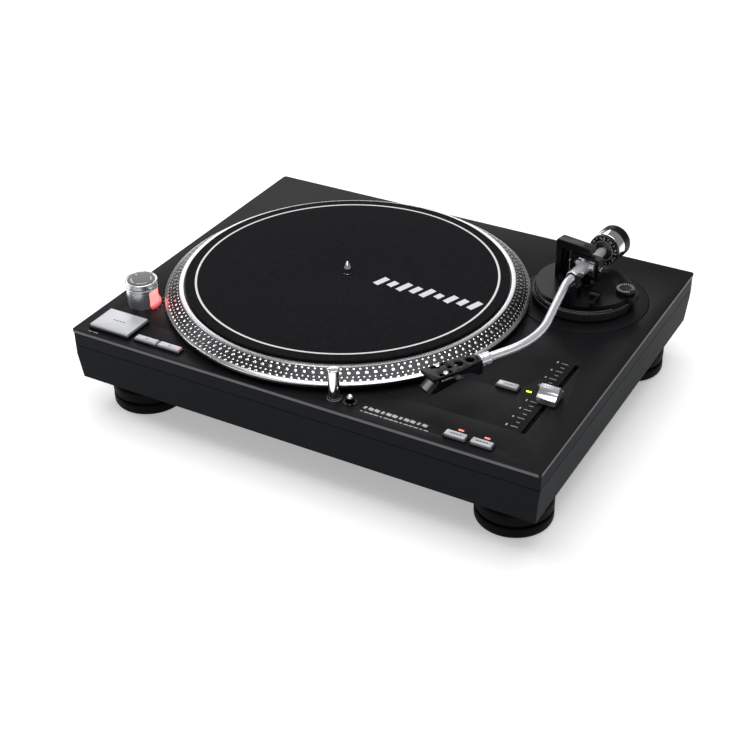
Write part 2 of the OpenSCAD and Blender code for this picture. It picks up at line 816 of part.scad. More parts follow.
module counterweight() {
  color("#2a2b2e")
  at_pivot(arm_angle) translate([0, 0, arm_z])
  difference() {
    union() {
      along_y(weight_front + 4, weight_front + 15, weight_r - 0.4);
      along_y(weight_front + 15, weight_front + weight_len, weight_r);
      along_y(weight_front + 0.2, weight_front + 5, 8);
    }
    along_y(weight_front - 2, weight_front + weight_len + 2, rear_shaft_r + 2 + running);
  }
}

module weight_dial() {
  color("#0c0d0f")
  at_pivot(arm_angle) translate([0, 0, arm_z])
  difference() {
    along_y(weight_front, weight_front + 3.65, weight_r - 0.8);
    along_y(weight_front - 2, weight_front + weight_len + 2, 8 + running);
  }
}

// ---- rear connections ----
module rear_panel() {
  panel_y = plinth_d / 2 - bay_depth;
  color("#1a1b1e")
  difference() {
    translate([bay_x - bay_w / 2, panel_y, bay_z]) cube([bay_w, 2, bay_h]);
    translate([bay_x, panel_y, bay_z + bay_h / 2]) {
      for (x = [-52, -34]) translate([x, 0, 0]) along_y(-1, 4, 4.2);
      translate([-14, 0, 0]) along_y(-1, 4, 2.2);
      translate([4, -1, -2.2]) cube([12, 4, 4.4]);
      translate([35, -1, -9.8]) cube([27.4, 4, 19.6]);
    }
  }
}

module phono_jacks() {
  panel_y = plinth_d / 2 - bay_depth;
  color("#d4af37")
  translate([bay_x, panel_y, bay_z + bay_h / 2])
  for (x = [-52, -34]) translate([x, 0, 0]) difference() {
    union() {
      along_y(-4, 10.5, 4.1);
      along_y(2, 3.2, 6);
      along_y(-6, 0, 5.5);
    }
    along_y(1, 12, 1.7);
  }
}

module ground_terminal() {
  panel_y = plinth_d / 2 - bay_depth;
  color("#c2c4c8")
  translate([bay_x - 14, panel_y, bay_z + bay_h / 2]) {
    along_y(-5, 11, 2);
    along_y(5, 9.5, 4.6);
  }
}

module mains_inlet() {
  panel_y = plinth_d / 2 - bay_depth;
  color("#0a0a0b")
  translate([bay_x + 48.7, panel_y, bay_z + bay_h / 2]) {
    difference() {
      translate([-13.5, -16, -9.6]) cube([27, 20, 19.2]);
      translate([-11, -10, -7.2]) cube([22, 20, 14.4]);
    }
    for (x = [-7, 0, 7]) translate([x - 1, -11, x == 0 ? 1 : -3]) cube([2, 10, 4]);
  }
}

module line_switch() {
  panel_y = plinth_d / 2 - bay_depth;
  color("#e4e5e6")
  translate([bay_x + 4.4, panel_y - 5, bay_z + bay_h / 2 - 1.85]) cube([5.6, 9.5, 3.7]);
}

// ---- platter ----
module platter() {
  top = platter_rise;
  color("#c6c9cd")
  translate([spindle_x, spindle_y, deck_z])
  rotate_extrude() polygon([
    [8, top - platter_web - 2], [24, top - platter_web - 2], [26, top - platter_web],
    [rim_inner, top - platter_web],
    [rim_inner, platter_gap + 1], [rim_inner + 1, platter_gap],
    [platter_r - 1, platter_gap], [platter_r, platter_gap + 1], [platter_r, 7.4], [platter_r - 0.8, 8.2],
    [platter_r - 2.1, 8.6], [platter_r - 13.2, 16.2], [platter_r - 14, top], [8, top]
  ]);
}

module magnet_rotor() {
  low = platter_rise - platter_web - 4;
  color("#3a3b3f")
  translate([spindle_x, spindle_y, deck_z + low]) ring(45, 28, 4);
}

module spindle() {
  low = bearing_low + 4.5;
  color("#e2e4e6")
  translate([spindle_x, spindle_y, 0])
  rotate_extrude() polygon([
    [0, low], [shaft_r - 1, low], [shaft_r, low + 1.2],
    [shaft_r, deck_z + platter_rise - platter_web - 2.6],
    [8, deck_z + platter_rise - platter_web - 2.2], [8, platter_top - 1], [spindle_base_r, platter_top],
    [spindle_base_r, mat_top + 0.2], [spindle_r, mat_top + 0.2],
    [spindle_r, mat_top + spindle_h - 6.5], [0.6, mat_top + spindle_h], [0, mat_top + spindle_h]
  ]);
}

module slipmat() {
  color("#141416")
  translate([spindle_x, spindle_y, platter_top]) ring(mat_r, spindle_base_r + gap, mat_t);
}

deck_plate();
plinth_cover();
plinth_base();
weight_plate();
foot_front_left();
foot_front_right();
foot_back_left();
foot_back_right();
base_screws();
motor_stator();
bearing_housing();
control_board();
transformer();
strobe_housing();
strobe_window();
start_bezel();
button_bezels();
red_indicators();
pitch_indicator();
lamp_guide();
release_guide();
fader_body();
arm_base_plate();
arm_base_sleeve();
height_scale_cover();
rear_panel();
phono_jacks();
ground_terminal();
mains_inlet();
platter();
magnet_rotor();
spindle();
slipmat();
start_button();
speed_button_33();
speed_button_45();
option_button_left();
option_button_right();
reset_button();
power_knob();
popup_lamp();
lamp_release();
pitch_cap();
line_switch();
height_ring();
arm_pillar();
bearing_arch();
armrest();
armrest_clip();
antiskate_knob();
cue_lever();
lift_bar();
gimbal_frame();
arm_tube();
locking_collar();
headshell();
cartridge();
thread_bush();
counterweight();
weight_dial();
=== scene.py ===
import json
import math

import bmesh
import bpy
import numpy as np
from mathutils import Matrix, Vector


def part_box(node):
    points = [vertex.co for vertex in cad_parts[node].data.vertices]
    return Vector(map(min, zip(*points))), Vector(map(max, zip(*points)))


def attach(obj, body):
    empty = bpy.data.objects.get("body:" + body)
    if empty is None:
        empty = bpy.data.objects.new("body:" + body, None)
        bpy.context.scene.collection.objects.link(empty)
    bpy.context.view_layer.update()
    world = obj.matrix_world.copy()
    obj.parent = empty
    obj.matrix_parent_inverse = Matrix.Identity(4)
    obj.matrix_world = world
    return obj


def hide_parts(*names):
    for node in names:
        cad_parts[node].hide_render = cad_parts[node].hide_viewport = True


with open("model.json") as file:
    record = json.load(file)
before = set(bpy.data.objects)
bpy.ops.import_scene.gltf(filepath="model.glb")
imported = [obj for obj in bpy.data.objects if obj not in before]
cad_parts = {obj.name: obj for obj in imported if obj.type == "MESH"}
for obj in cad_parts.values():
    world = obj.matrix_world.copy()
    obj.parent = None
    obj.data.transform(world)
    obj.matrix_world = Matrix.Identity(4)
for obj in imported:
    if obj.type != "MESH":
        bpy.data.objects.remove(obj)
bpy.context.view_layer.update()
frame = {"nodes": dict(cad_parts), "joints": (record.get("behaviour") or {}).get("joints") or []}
cad = frame["nodes"]
mm = 0.001

# ---------------------------------------------------------------- places, read from the frame


def middle(node):
    low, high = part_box(node)
    return np.array((low + high) / 2)


def topOf(node):
    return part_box(node)[1].z


def jointCalled(name):
    return next(j for j in frame["joints"] if j["name"] == name)


deckTop = topOf("deck_plate")
spindle = middle("platter")[:2]
pivot = np.array(jointCalled("arm_pitch")["pos_m"])
platformTop = topOf("arm_pillar")
shellAxis = np.array(jointCalled("collar_turn")["axis"])
shellRoot = np.array(jointCalled("collar_turn")["pos_m"])
armBack = np.array(jointCalled("weight_travel")["axis"])
up = np.array([0.0, 0.0, 1.0])

# ---------------------------------------------------------------- camera
camera = dict(place=(0.54278, -0.97788, 0.74055), turn=29.84, drop=33.31, roll=-1.006, lens=68.606)


def makeCamera():
    eye = bpy.data.objects.new("camera", bpy.data.cameras.new("camera"))
    eye.data.lens = camera["lens"]
    eye.data.sensor_width = 36
    turn = Matrix.Rotation(math.radians(camera["turn"]), 4, "Z")
    tilt = Matrix.Rotation(math.radians(90 - camera["drop"]), 4, "X")
    roll = Matrix.Rotation(math.radians(camera["roll"]), 4, "Z")
    eye.matrix_world = Matrix.Translation(camera["place"]) @ (turn @ tilt) @ roll
    bpy.context.scene.collection.objects.link(eye)
    bpy.context.scene.camera = eye


makeCamera()
print("camera placed")

# ---------------------------------------------------------------- shader maths


class Wire:
    # a node socket that does arithmetic; add() makes every other node
    def __init__(self, tree, socket=None):
        self.tree = tree
        self.socket = socket

    def add(self, kind, settings=None, sockets=None, out=0):
        node = self.tree.nodes.new(kind)
        for name, value in (settings or {}).items():
            if name == "stops":
                ramp = node.color_ramp
                for i, (spot, shade) in enumerate(value):
                    stop = ramp.elements[i] if i < 2 else ramp.elements.new(spot)
                    stop.position = spot
                    stop.color = (*shade, 1)
            else:
                setattr(node, name, value)
        for name, value in (sockets or {}).items():
            if isinstance(value, Wire):
                self.tree.links.new(value.socket, node.inputs[name])
            else:
                node.inputs[name].default_value = value
        return Wire(self.tree, node.outputs[out])

    def maths(self, operation, *values, clamp=False):
        return self.add("ShaderNodeMath", {"operation": operation, "use_clamp": clamp},
                dict(enumerate(values)))

    def __add__(self, other):
        return self.maths("ADD", self, other)

    def __sub__(self, other):
        return self.maths("SUBTRACT", self, other)

    def __mul__(self, other):
        return self.maths("MULTIPLY", self, other)

    def __truediv__(self, other):
        return self.maths("DIVIDE", self, other)

    def __radd__(self, other):
        return self.maths("ADD", other, self)

    def __rsub__(self, other):
        return self.maths("SUBTRACT", other, self)

    def __rmul__(self, other):
        return self.maths("MULTIPLY", other, self)

    def part(self, name):
        # another output of the same node
        return Wire(self.tree, self.socket.node.outputs[name])

    def mix(self, low, high):
        # two colours, by this wire
        return self.add("ShaderNodeMix", {"data_type": "RGBA"}, {0: self, 6: low, 7: high}, out=2)

    def band(self, low, high, soft):
        # 1 between low and high, with soft edges
        rise = self.maths("DIVIDE", self - low, soft, clamp=True)
        fall = self.maths("DIVIDE", high - self, soft, clamp=True)
        return rise * fall


def colour(r, g, b):
    return (r, g, b, 1.0)


def noise(start, where, scale, detail=3.0, rough=0.55, stretch=None):
    if stretch:
        where = start.add("ShaderNodeMapping", {}, {"Vector": where, "Scale": stretch})
    return start.add("ShaderNodeTexNoise", {}, {"Vector": where, "Scale": scale, "Detail": detail,
            "Roughness": rough})


def bump(start, height, depth, strength=1.0):
    # depth in metres for a height that goes from 0 to 1
    return start.add("ShaderNodeBump", {}, {"Height": height, "Distance": depth, "Strength": strength})


def finish(name, build, **fixed):
    made = bpy.data.materials.new(name)
    made.use_nodes = True
    shader = made.node_tree.nodes["Principled BSDF"]
    for socket, value in fixed.items():
        shader.inputs[socket.replace("_", " ")].default_value = value
    start = Wire(made.node_tree)
    where = start.add("ShaderNodeTexCoord", out="Object")
    for socket, value in build(start, where).items():
        if isinstance(value, Wire):
            made.node_tree.links.new(value.socket, shader.inputs[socket])
        else:
            shader.inputs[socket].default_value = value
    return made


def around(start, where, centre):
    # distance and angle about an upright axis, in metres and radians
    x = start.add("ShaderNodeSeparateXYZ", {}, {"Vector": where}, out="X")
    dx = x - float(centre[0])
    dy = x.part("Y") - float(centre[1])
    return (dx * dx + dy * dy).maths("SQRT", dx * dx + dy * dy), start.maths("ARCTAN2", dy, dx), x.part("Z")


# ---------------------------------------------------------------- materials
def paintOf(dark, light, grain, gloss, speckle=0.00002):
    # powder coat: fine grain in the height, slow drift in the sheen, a little dust
    def build(start, where):
        fine = noise(start, where, grain, 2.0)
        slow = noise(start, where, 14.0, 3.0)
        dust = noise(start, where, 900.0, 1.0).maths("GREATER_THAN", noise(start, where, 900.0, 1.0), 0.71)
        tone = (slow * 0.75 + dust * 0.2).mix(colour(*dark), colour(*light))
        return {"Base Color": tone, "Roughness": gloss + slow * 0.1 + fine * 0.06,
                "Normal": bump(start, fine, speckle, 0.5)}
    return build


def deckPaintOf():
    # satin black, with a painted highlight: a thin lighter line of colour where the deck's outer edge is
    # bevelled, standing in for light caught by the bevel
    plain = paintOf((0.0055, 0.0053, 0.0064), (0.0095, 0.0092, 0.0108), 2600.0, 0.36, 0.000012)

    def build(start, where):
        made = plain(start, where)
        x = start.add("ShaderNodeSeparateXYZ", {}, {"Vector": where}, out="X")
        y = x.part("Y")
        wide = x.maths("ABSOLUTE", x) - 0.22488
        deep = y.maths("ABSOLUTE", y) - 0.17588
        edgeAt = wide.maths("MAXIMUM", wide, deep)
        # painted highlight: the outermost sliver of the deck edge gets a lighter base colour
        line = edgeAt.maths("GREATER_THAN", edgeAt, 0.0)
        made["Base Color"] = line.mix(made["Base Color"], colour(0.13, 0.13, 0.14))
        return made
    return build


def brushedOf(tone, gloss, stretch, depth=0.000012):
    # fine lines along one axis
    def build(start, where):
        lines = noise(start, where, 1.0, 3.0, 0.6, stretch)
        wide = noise(start, where, 60.0, 2.0)
        low = [c * 0.88 for c in tone]
        return {"Base Color": (lines * 0.7 + wide * 0.3).mix(colour(*low), colour(*tone)),
                "Roughness": gloss + lines * 0.14,
                "Normal": bump(start, lines, depth)}
    return build


def mouldedOf(dark, light, gloss, depth=0.00002):
    def build(start, where):
        grain = noise(start, where, 2600.0, 2.0)
        slow = noise(start, where, 40.0, 2.0)
        return {"Base Color": slow.mix(colour(*dark), colour(*light)), "Roughness": gloss + grain * 0.1,
                "Normal": bump(start, grain, depth, 0.4)}
    return build


def metalOf(tone, gloss, depth=0.000004):
    # polished metal with faint hand marks
    def build(start, where):
        marks = noise(start, where, 420.0, 3.0)
        haze = noise(start, where, 35.0, 2.0)
        low = [c * 0.9 for c in tone]
        return {"Base Color": haze.mix(colour(*low), colour(*tone)),
                "Roughness": gloss + haze * 0.05 + marks * 0.03, "Normal": bump(start, marks, depth, 0.3)}
    return build


def turnedOf(centre, tone, gloss, pitch=0.0004, depth=0.000006):
    # lathe lines about an upright axis
    def build(start, where):
        radius, angle, height = around(start, where, centre)
        lines = (radius * (math.tau / pitch)).maths("SINE", radius * (math.tau / pitch))
        grain = noise(start, where, 300.0, 2.0)
        low = [c * 0.86 for c in tone]
        return {"Base Color": (lines * 0.25 + grain * 0.75).mix(colour(*low), colour(*tone)),
                "Roughness": gloss + grain * 0.08,
                "Normal": bump(start, lines * 0.5 + grain * 0.5, depth)}
    return build


def litOf(tone, strength):
    def build(start, where):
        grain = noise(start, where, 900.0, 2.0)
        return {"Base Color": grain.mix(colour(*[c * 0.8 for c in tone]), colour(*tone)),
                "Emission Color": grain.mix(colour(*[c * 0.85 for c in tone]), colour(*tone)),
                "Roughness": 0.2 + grain * 0.1}
    return build, strength


def feltOf(centre):
    # short black fibres, lighter flecks and a white printed ring
    def build(start, where):
        radius, angle, height = around(start, where, centre)
        fibre = noise(start, where, 1500.0, 6.0, 0.75)
        cloud = noise(start, where, 260.0, 4.0, 0.6)
        worn = noise(start, where, 900.0, 2.0)
        fleck = noise(start, where, 1100.0, 3.0, 0.7)
        lit = fleck.maths("POWER", fleck, 5.0) * 2.2
        felt = (lit * 0.6 + cloud * 0.25).mix(colour(0.002, 0.002, 0.0025), colour(0.042, 0.041, 0.048))
        edge = radius + (fibre - 0.5) * 0.0006
        ink = edge.band(0.1361, 0.1382, 0.00025) * (0.75 + worn * 0.35)
        return {"Base Color": ink.mix(felt, colour(0.83, 0.83, 0.82)), "Roughness": 0.86 + fibre * 0.12,
                "Normal": bump(start, fibre * 0.7 + cloud * 0.3, 0.00025, 0.8)}
    return build


materials = {}


def make(name, build, **fixed):
    materials[name] = finish(name, build, **fixed)
    return materials[name]


make("deckPaintWithPaintedHighlight", deckPaintOf(), Specular_IOR_Level=0.1)
make("sidePaint", paintOf((0.0085, 0.0095, 0.0115), (0.0125, 0.014, 0.0165), 2200.0, 0.42, 0.000016),
        Specular_IOR_Level=0.04)
make("basePlastic", paintOf((0.006, 0.0075, 0.009), (0.0095, 0.0115, 0.0135), 2400.0, 0.44, 0.000016),
        Specular_IOR_Level=0.04)
make("footRubber", mouldedOf((0.0015, 0.0015, 0.0018), (0.0035, 0.0035, 0.004), 0.5, 0.00004),
        Specular_IOR_Level=0.06)
make("armBlack", mouldedOf((0.002, 0.002, 0.0024), (0.004, 0.004, 0.0048), 0.28, 0.000006),
        Specular_IOR_Level=0.2)
# the knurled ring's black is lighter than armBlack: painted sheen, standing in for light on the teeth
make("ringBlackPaintedSheen", mouldedOf((0.014, 0.014, 0.0155), (0.024, 0.024, 0.0265), 0.2, 0.000004),
        Specular_IOR_Level=0.9)
make("blackPlastic", mouldedOf((0.003, 0.003, 0.0035), (0.0065, 0.0065, 0.0075), 0.3),
        Specular_IOR_Level=0.25)
make("glossBlack", mouldedOf((0.002, 0.002, 0.0025), (0.004, 0.004, 0.005), 0.1, 0.000004))
make("silverSatin", brushedOf((0.82, 0.83, 0.86), 0.2, (60.0, 2600.0, 2600.0), 0.0000015), Metallic=0.85)
make("gripSilver", metalOf((0.84, 0.84, 0.87), 0.2, 0.0000006), Metallic=0.9)
make("silverCap", mouldedOf((0.55, 0.56, 0.59), (0.6, 0.61, 0.64), 0.28, 0.000004), Metallic=0.4)
make("armSatin", metalOf((0.86, 0.86, 0.91), 0.2), Metallic=0.65)
make("chrome", metalOf((0.9, 0.9, 0.92), 0.05), Metallic=1.0)
make("brass", metalOf((0.78, 0.58, 0.28), 0.22), Metallic=1.0)
make("steel", brushedOf((0.5, 0.51, 0.53), 0.3, (900.0, 120.0, 900.0)), Metallic=1.0)
make("darkSteel", brushedOf((0.16, 0.16, 0.17), 0.36, (900.0, 120.0, 900.0)), Metallic=1.0)
make("copper", metalOf((0.72, 0.34, 0.17), 0.3), Metallic=1.0)
make("circuitBoard", mouldedOf((0.006, 0.05, 0.02), (0.012, 0.08, 0.034), 0.3))
make("whitePlastic", mouldedOf((0.7, 0.7, 0.7), (0.8, 0.8, 0.8), 0.35))
make("printWhite", mouldedOf((0.62, 0.63, 0.65), (0.78, 0.79, 0.8), 0.5))
make("printGrey", mouldedOf((0.42, 0.425, 0.44), (0.52, 0.525, 0.54), 0.5))
make("platterDark", turnedOf(spindle, (0.055, 0.055, 0.06), 0.34), Metallic=1.0)
make("platterBright", turnedOf(spindle, (0.6, 0.605, 0.615), 0.2, 0.0005, 0.000003), Metallic=1.0)
make("dotSilver", metalOf((0.92, 0.92, 0.93), 0.14), Metallic=1.0)
make("felt", feltOf(spindle), Sheen_Weight=0.02, Sheen_Roughness=0.5, Specular_IOR_Level=0.05)
for name, tone, strength in (("redLight", (1.0, 0.16, 0.14), 1.6), ("dimRed", (0.75, 0.12, 0.12), 0.5),
        ("greenLight", (0.55, 0.8, 0.03), 3.2),
                             ("warmLight", (1.0, 0.45, 0.12), 9.0),
                             ("strobeLight", (1.0, 0.24, 0.23), 1.7)):
    make(name, litOf(tone, strength)[0], Emission_Strength=strength)
print("materials made")

# ---------------------------------------------------------------- making meshes


def meshOf(name, points, faces, body, stuff, sharp=32, slot=None):
    # points (n, 3) in metres and rows of four corners, welded and turned outwards
    mesh = bpy.data.meshes.new(name)
    count = len(faces)
    mesh.vertices.add(len(points))
    mesh.vertices.foreach_set("co", np.asarray(points, np.float32).ravel())
    mesh.loops.add(count * 4)
    mesh.loops.foreach_set("vertex_index", np.asarray(faces, np.int32).ravel())
    mesh.polygons.add(count)
    mesh.polygons.foreach_set("loop_start", np.arange(0, count * 4, 4, dtype=np.int32))
    mesh.update(calc_edges=True)
    weld(mesh)
    return place(name, mesh, body, stuff, sharp, slot)


def weld(mesh):
    work = bmesh.new()
    work.from_mesh(mesh)
    bmesh.ops.remove_doubles(work, verts=work.verts, dist=2e-7)
    bmesh.ops.dissolve_degenerate(work, edges=work.edges, dist=1e-8)
    bmesh.ops.recalc_face_normals(work, faces=work.faces)
    work.to_mesh(mesh)
    work.free()


# the record's material slot for each finish; place() looks a piece's slot up here unless the piece names
# another, but does not give the piece that slot
finishSlots = {
    "aluminium": ["dotSilver", "platterBright", "platterDark"],
    "arm_black": ["armBlack", "ringBlackPaintedSheen"],
    "arm_chrome": ["armSatin"],
    "black_plastic": ["blackPlastic", "glossBlack"],
    "chrome": ["chrome", "steel"],
    "deck_paint": ["deckPaintWithPaintedHighlight"],
    "felt": ["felt"],
    "foot_rubber": ["footRubber"],
    "green_light": ["greenLight"],
    "red_light": ["redLight"],
    "red_window": ["dimRed", "strobeLight"],
    "side_paint": ["sidePaint"],
    "silver": ["darkSteel", "gripSilver", "silverCap", "silverSatin", "warmLight"],
    "white_plastic": ["printGrey", "printWhite"],
}
slotOf = {stuff: slot for slot, finishes in finishSlots.items() for stuff in finishes}


def place(name, mesh, body, stuff, sharp=32, slot=None):
    piece = bpy.data.objects.new(name, mesh)
    bpy.context.scene.collection.objects.link(piece)
    mesh.materials.clear()
    mesh.materials.append(materials[stuff])
    mesh.polygons.foreach_set("use_smooth", np.ones(len(mesh.polygons), bool))
    mesh.set_sharp_from_angle(angle=math.radians(sharp))
    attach(piece, body)
    slot = slot or slotOf.get(stuff)
    return piece


def gridFaces(rows, columns, loopRows=False, loopColumns=False):
    a = np.arange(rows if loopRows else rows - 1)
    b = np.arange(columns if loopColumns else columns - 1)
    i, j = np.meshgrid(a, b, indexing="ij")
    nextI, nextJ = (i + 1) % rows, (j + 1) % columns
    return np.stack([i * columns + j, nextI * columns + j, nextI * columns + nextJ, i * columns + nextJ],
            -1).reshape(-1, 4)


def gridPiece(name, points, body, stuff, loopRows=False, loopColumns=False, **more):
    rows, columns = points.shape[:2]
    return meshOf(name, points.reshape(-1, 3), gridFaces(rows, columns, loopRows, loopColumns), body,
            stuff, **more)


def eased(profile, radius, steps=4):
    # each inner corner becomes a small curve: (1-t)^2 A + 2t(1-t) P + t^2 B, A and B a radius from P
    p = np.asarray(profile, float)
    out = [p[:1]]
    t = np.linspace(0, 1, steps)[:, None]
    for before, corner, after in zip(p[:-2], p[1:-1], p[2:]):
        la, lb = np.linalg.norm(before - corner), np.linalg.norm(after - corner)
        a = corner + (before - corner) * min(radius / la, 0.49)
        b = corner + (after - corner) * min(radius / lb, 0.49)
        out.append((1 - t) ** 2 * a + 2 * t * (1 - t) * corner + t**2 * b)
    out.append(p[-1:])
    return np.concatenate(out)


def turned(name, profile, body, stuff, centre=None, axis=None, steps=96, radius=0.0004, wave=None, **more):
    # a profile of (radius, height) carried round an axis; wave(angle) scales the radius of chosen rows
    centre = np.array([*spindle, 0.0]) if centre is None else np.asarray(centre, float)
    axis = up if axis is None else np.asarray(axis, float) / np.linalg.norm(axis)
    side = np.cross(axis, up if abs(axis[2]) < 0.9 else np.array([0.0, -1.0, 0.0]))
    side /= np.linalg.norm(side)
    other = np.cross(axis, side)
    p = eased(profile, radius) if radius else np.asarray(profile, float)
    angle = np.linspace(0, math.tau, steps, endpoint=False)
    spread = np.ones((len(p), steps)) if wave is None else wave(p, angle)
    across = np.cos(angle)[:, None] * side + np.sin(angle)[:, None] * other
    points = centre + (p[:, 0, None] * spread)[..., None] * across + p[:, 1, None, None] * axis
    return gridPiece(name, points, body, stuff, loopColumns=True, **more)


def roundedOutline(width, depth, radius, corner=7):
    # four quarter circles joined by straight sides, counter-clockwise
    radius = max(min(radius, width / 2, depth / 2), 1e-6)
    t = np.linspace(0, math.pi / 2, corner)
    arcs = []
    for k, (sx, sy) in enumerate(((1, 1), (-1, 1), (-1, -1), (1, -1))):
        a = t + k * math.pi / 2
        arcs.append(np.stack([sx * (width / 2 - radius) + radius * np.cos(a),
                sy * (depth / 2 - radius) + radius * np.sin(a)], -1))
    return np.concatenate(arcs)


def stacked(name, centre, width, depth, radius, levels, body, stuff, turn=0.0, closed=True, loop=False,
        **more):
    # rounded outlines one above another: each level is (height, inset); closed adds a middle point
    c, s = math.cos(turn), math.sin(turn)
    rows = []
    for height, inset in levels:
        o = roundedOutline(width - 2 * inset, depth - 2 * inset, max(radius - inset, 0.00005))
        rows.append(np.stack([centre[0] + o[:, 0] * c - o[:, 1] * s,
                centre[1] + o[:, 0] * s + o[:, 1] * c, np.full(len(o), height)], -1))
    if closed:
        rows.insert(0, np.repeat([[centre[0], centre[1], levels[0][0]]], len(rows[0]), 0))
        rows.append(np.repeat([[centre[0], centre[1], levels[-1][0]]], len(rows[0]), 0))
    return gridPiece(name, np.array(rows), body, stuff, loopRows=loop, loopColumns=True, **more)


def swept(name, path, radius, body, stuff, sides=24, flat=1.0, capped=True, **more):
    # a circle of one radius, or a list of radii, carried along a path; flat squeezes it across the way up
    path = np.asarray(path, float)
    way = np.gradient(path, axis=0)
    way /= np.linalg.norm(way, axis=1, keepdims=True)
    side = np.cross(way, up)
    length = np.linalg.norm(side, axis=1, keepdims=True)
    side = np.where(length > 1e-3, side / np.maximum(length, 1e-9), np.array([1.0, 0.0, 0.0]))
    top = np.cross(side, way)
    angle = np.linspace(0, math.tau, sides, endpoint=False)
    radius = np.broadcast_to(np.asarray(radius, float), (len(path),))
    ring = np.cos(angle)[None, :, None] * side[:, None] + flat * np.sin(angle)[None, :, None] * top[:, None]
    points = path[:, None] + radius[:, None, None] * ring
    if capped:
        points = np.concatenate([np.repeat(path[:1, None], sides, 1), points,
                np.repeat(path[-1:, None], sides, 1)])
    return gridPiece(name, points, body, stuff, loopColumns=True, **more)


def arcBlock(name, centre, profile, start, stop, body, stuff, steps=40, **more):
    # a closed profile of (radius, height) carried round part of a circle, with both ends closed
    p = np.asarray(profile, float)
    angle = np.radians(np.linspace(start, stop, steps))
    across = np.stack([np.cos(angle), np.sin(angle), np.zeros_like(angle)], -1)
    points = np.array([*centre[:2], 0.0]) + p[None, :, 0, None] * across[:, None] + p[None, :, 1, None] * up
    ends = points.mean(1, keepdims=True)
    points = np.concatenate([np.repeat(ends[:1], len(p), 1), points, np.repeat(ends[-1:], len(p), 1)])
    return gridPiece(name, points, body, stuff, loopColumns=True, **more)


def plate(name, outlines, thickness, bevel, placed, body, stuff, **more):
    # a flat shape: the first outline is the edge, the others are holes; placed puts it in the frame
    curve = bpy.data.curves.new(name, "CURVE")
    curve.dimensions = "2D"
    curve.fill_mode = "BOTH"
    curve.extrude = thickness / 2 - bevel
    curve.bevel_depth = bevel
    curve.bevel_resolution = 2
    curve.offset = -bevel
    for outline in outlines:
        line = curve.splines.new("POLY")
        line.points.add(len(outline) - 1)
        line.points.foreach_set("co", np.c_[outline, np.zeros(len(outline)), np.ones(len(outline))].ravel())
        line.use_cyclic_u = True
    return fromCurve(name, curve, placed, body, stuff, **more)


def fromCurve(name, curve, placed, body, stuff, **more):
    holder = bpy.data.objects.new(name + "Curve", curve)
    bpy.context.scene.collection.objects.link(holder)
    bpy.context.view_layer.update()
    mesh = bpy.data.meshes.new_from_object(holder.evaluated_get(bpy.context.evaluated_depsgraph_get()))
    bpy.data.objects.remove(holder)
    bpy.data.curves.remove(curve)
    mesh.transform(placed)
    weld(mesh)
    return place(name, mesh, body, stuff, **more)


def circle(x, y, radius, count=32):
    a = np.linspace(0, math.tau, count, endpoint=False)
    return np.stack([x + radius * np.cos(a), y + radius * np.sin(a)], -1)


def moved(outline, x, y):
    return outline + np.array([x, y])


def upright(height):
    # a flat shape laid level at this height
    return Matrix.Translation((0, 0, height))


def framed(origin, right, top):
    # a flat shape whose x runs along right and y along top
    right, top = np.asarray(right, float), np.asarray(top, float)
    out = np.cross(right, top)
    m = Matrix(np.column_stack([right, top, out]).tolist()).to_4x4()
    return Matrix.Translation(origin) @ m


def slabs(name, boxes, body, stuff, **more):
    # many small upright blocks in one mesh: rows of (centre x, y, z, half x, half y, half z, turn)
    b = np.asarray(boxes, float)
    corner = np.array([[-1, -1, -1], [1, -1, -1], [1, 1, -1], [-1, 1, -1], [-1, -1, 1], [1, -1, 1],
            [1, 1, 1], [-1, 1, 1]], float)
    local = corner[None] * b[:, None, 3:6]
    c, s = np.cos(b[:, 6])[:, None], np.sin(b[:, 6])[:, None]
    points = np.stack([local[..., 0] * c - local[..., 1] * s, local[..., 0] * s + local[..., 1] * c,
            local[..., 2]], -1) + b[:, None, :3]
    face = np.array([[0, 3, 2, 1], [4, 5, 6, 7], [0, 1, 5, 4], [1, 2, 6, 5], [2, 3, 7, 6], [3, 0, 4, 7]])
    faces = (face[None] + 8 * np.arange(len(b))[:, None, None]).reshape(-1, 4)
    return meshOf(name, points.reshape(-1, 3), faces, body, stuff, **more)


def writing(name, words, size, placed, body, stuff, **more):
    # plain numbers only
    text = bpy.data.curves.new(name, "FONT")
    text.body = words
    text.size = size
    text.extrude = 0.00002
    text.align_x = "CENTER"
    text.align_y = "CENTER"
    return fromCurve(name, text, placed, body, stuff, **more)


def shown(piece, *names):
    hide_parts(*names)
    return piece


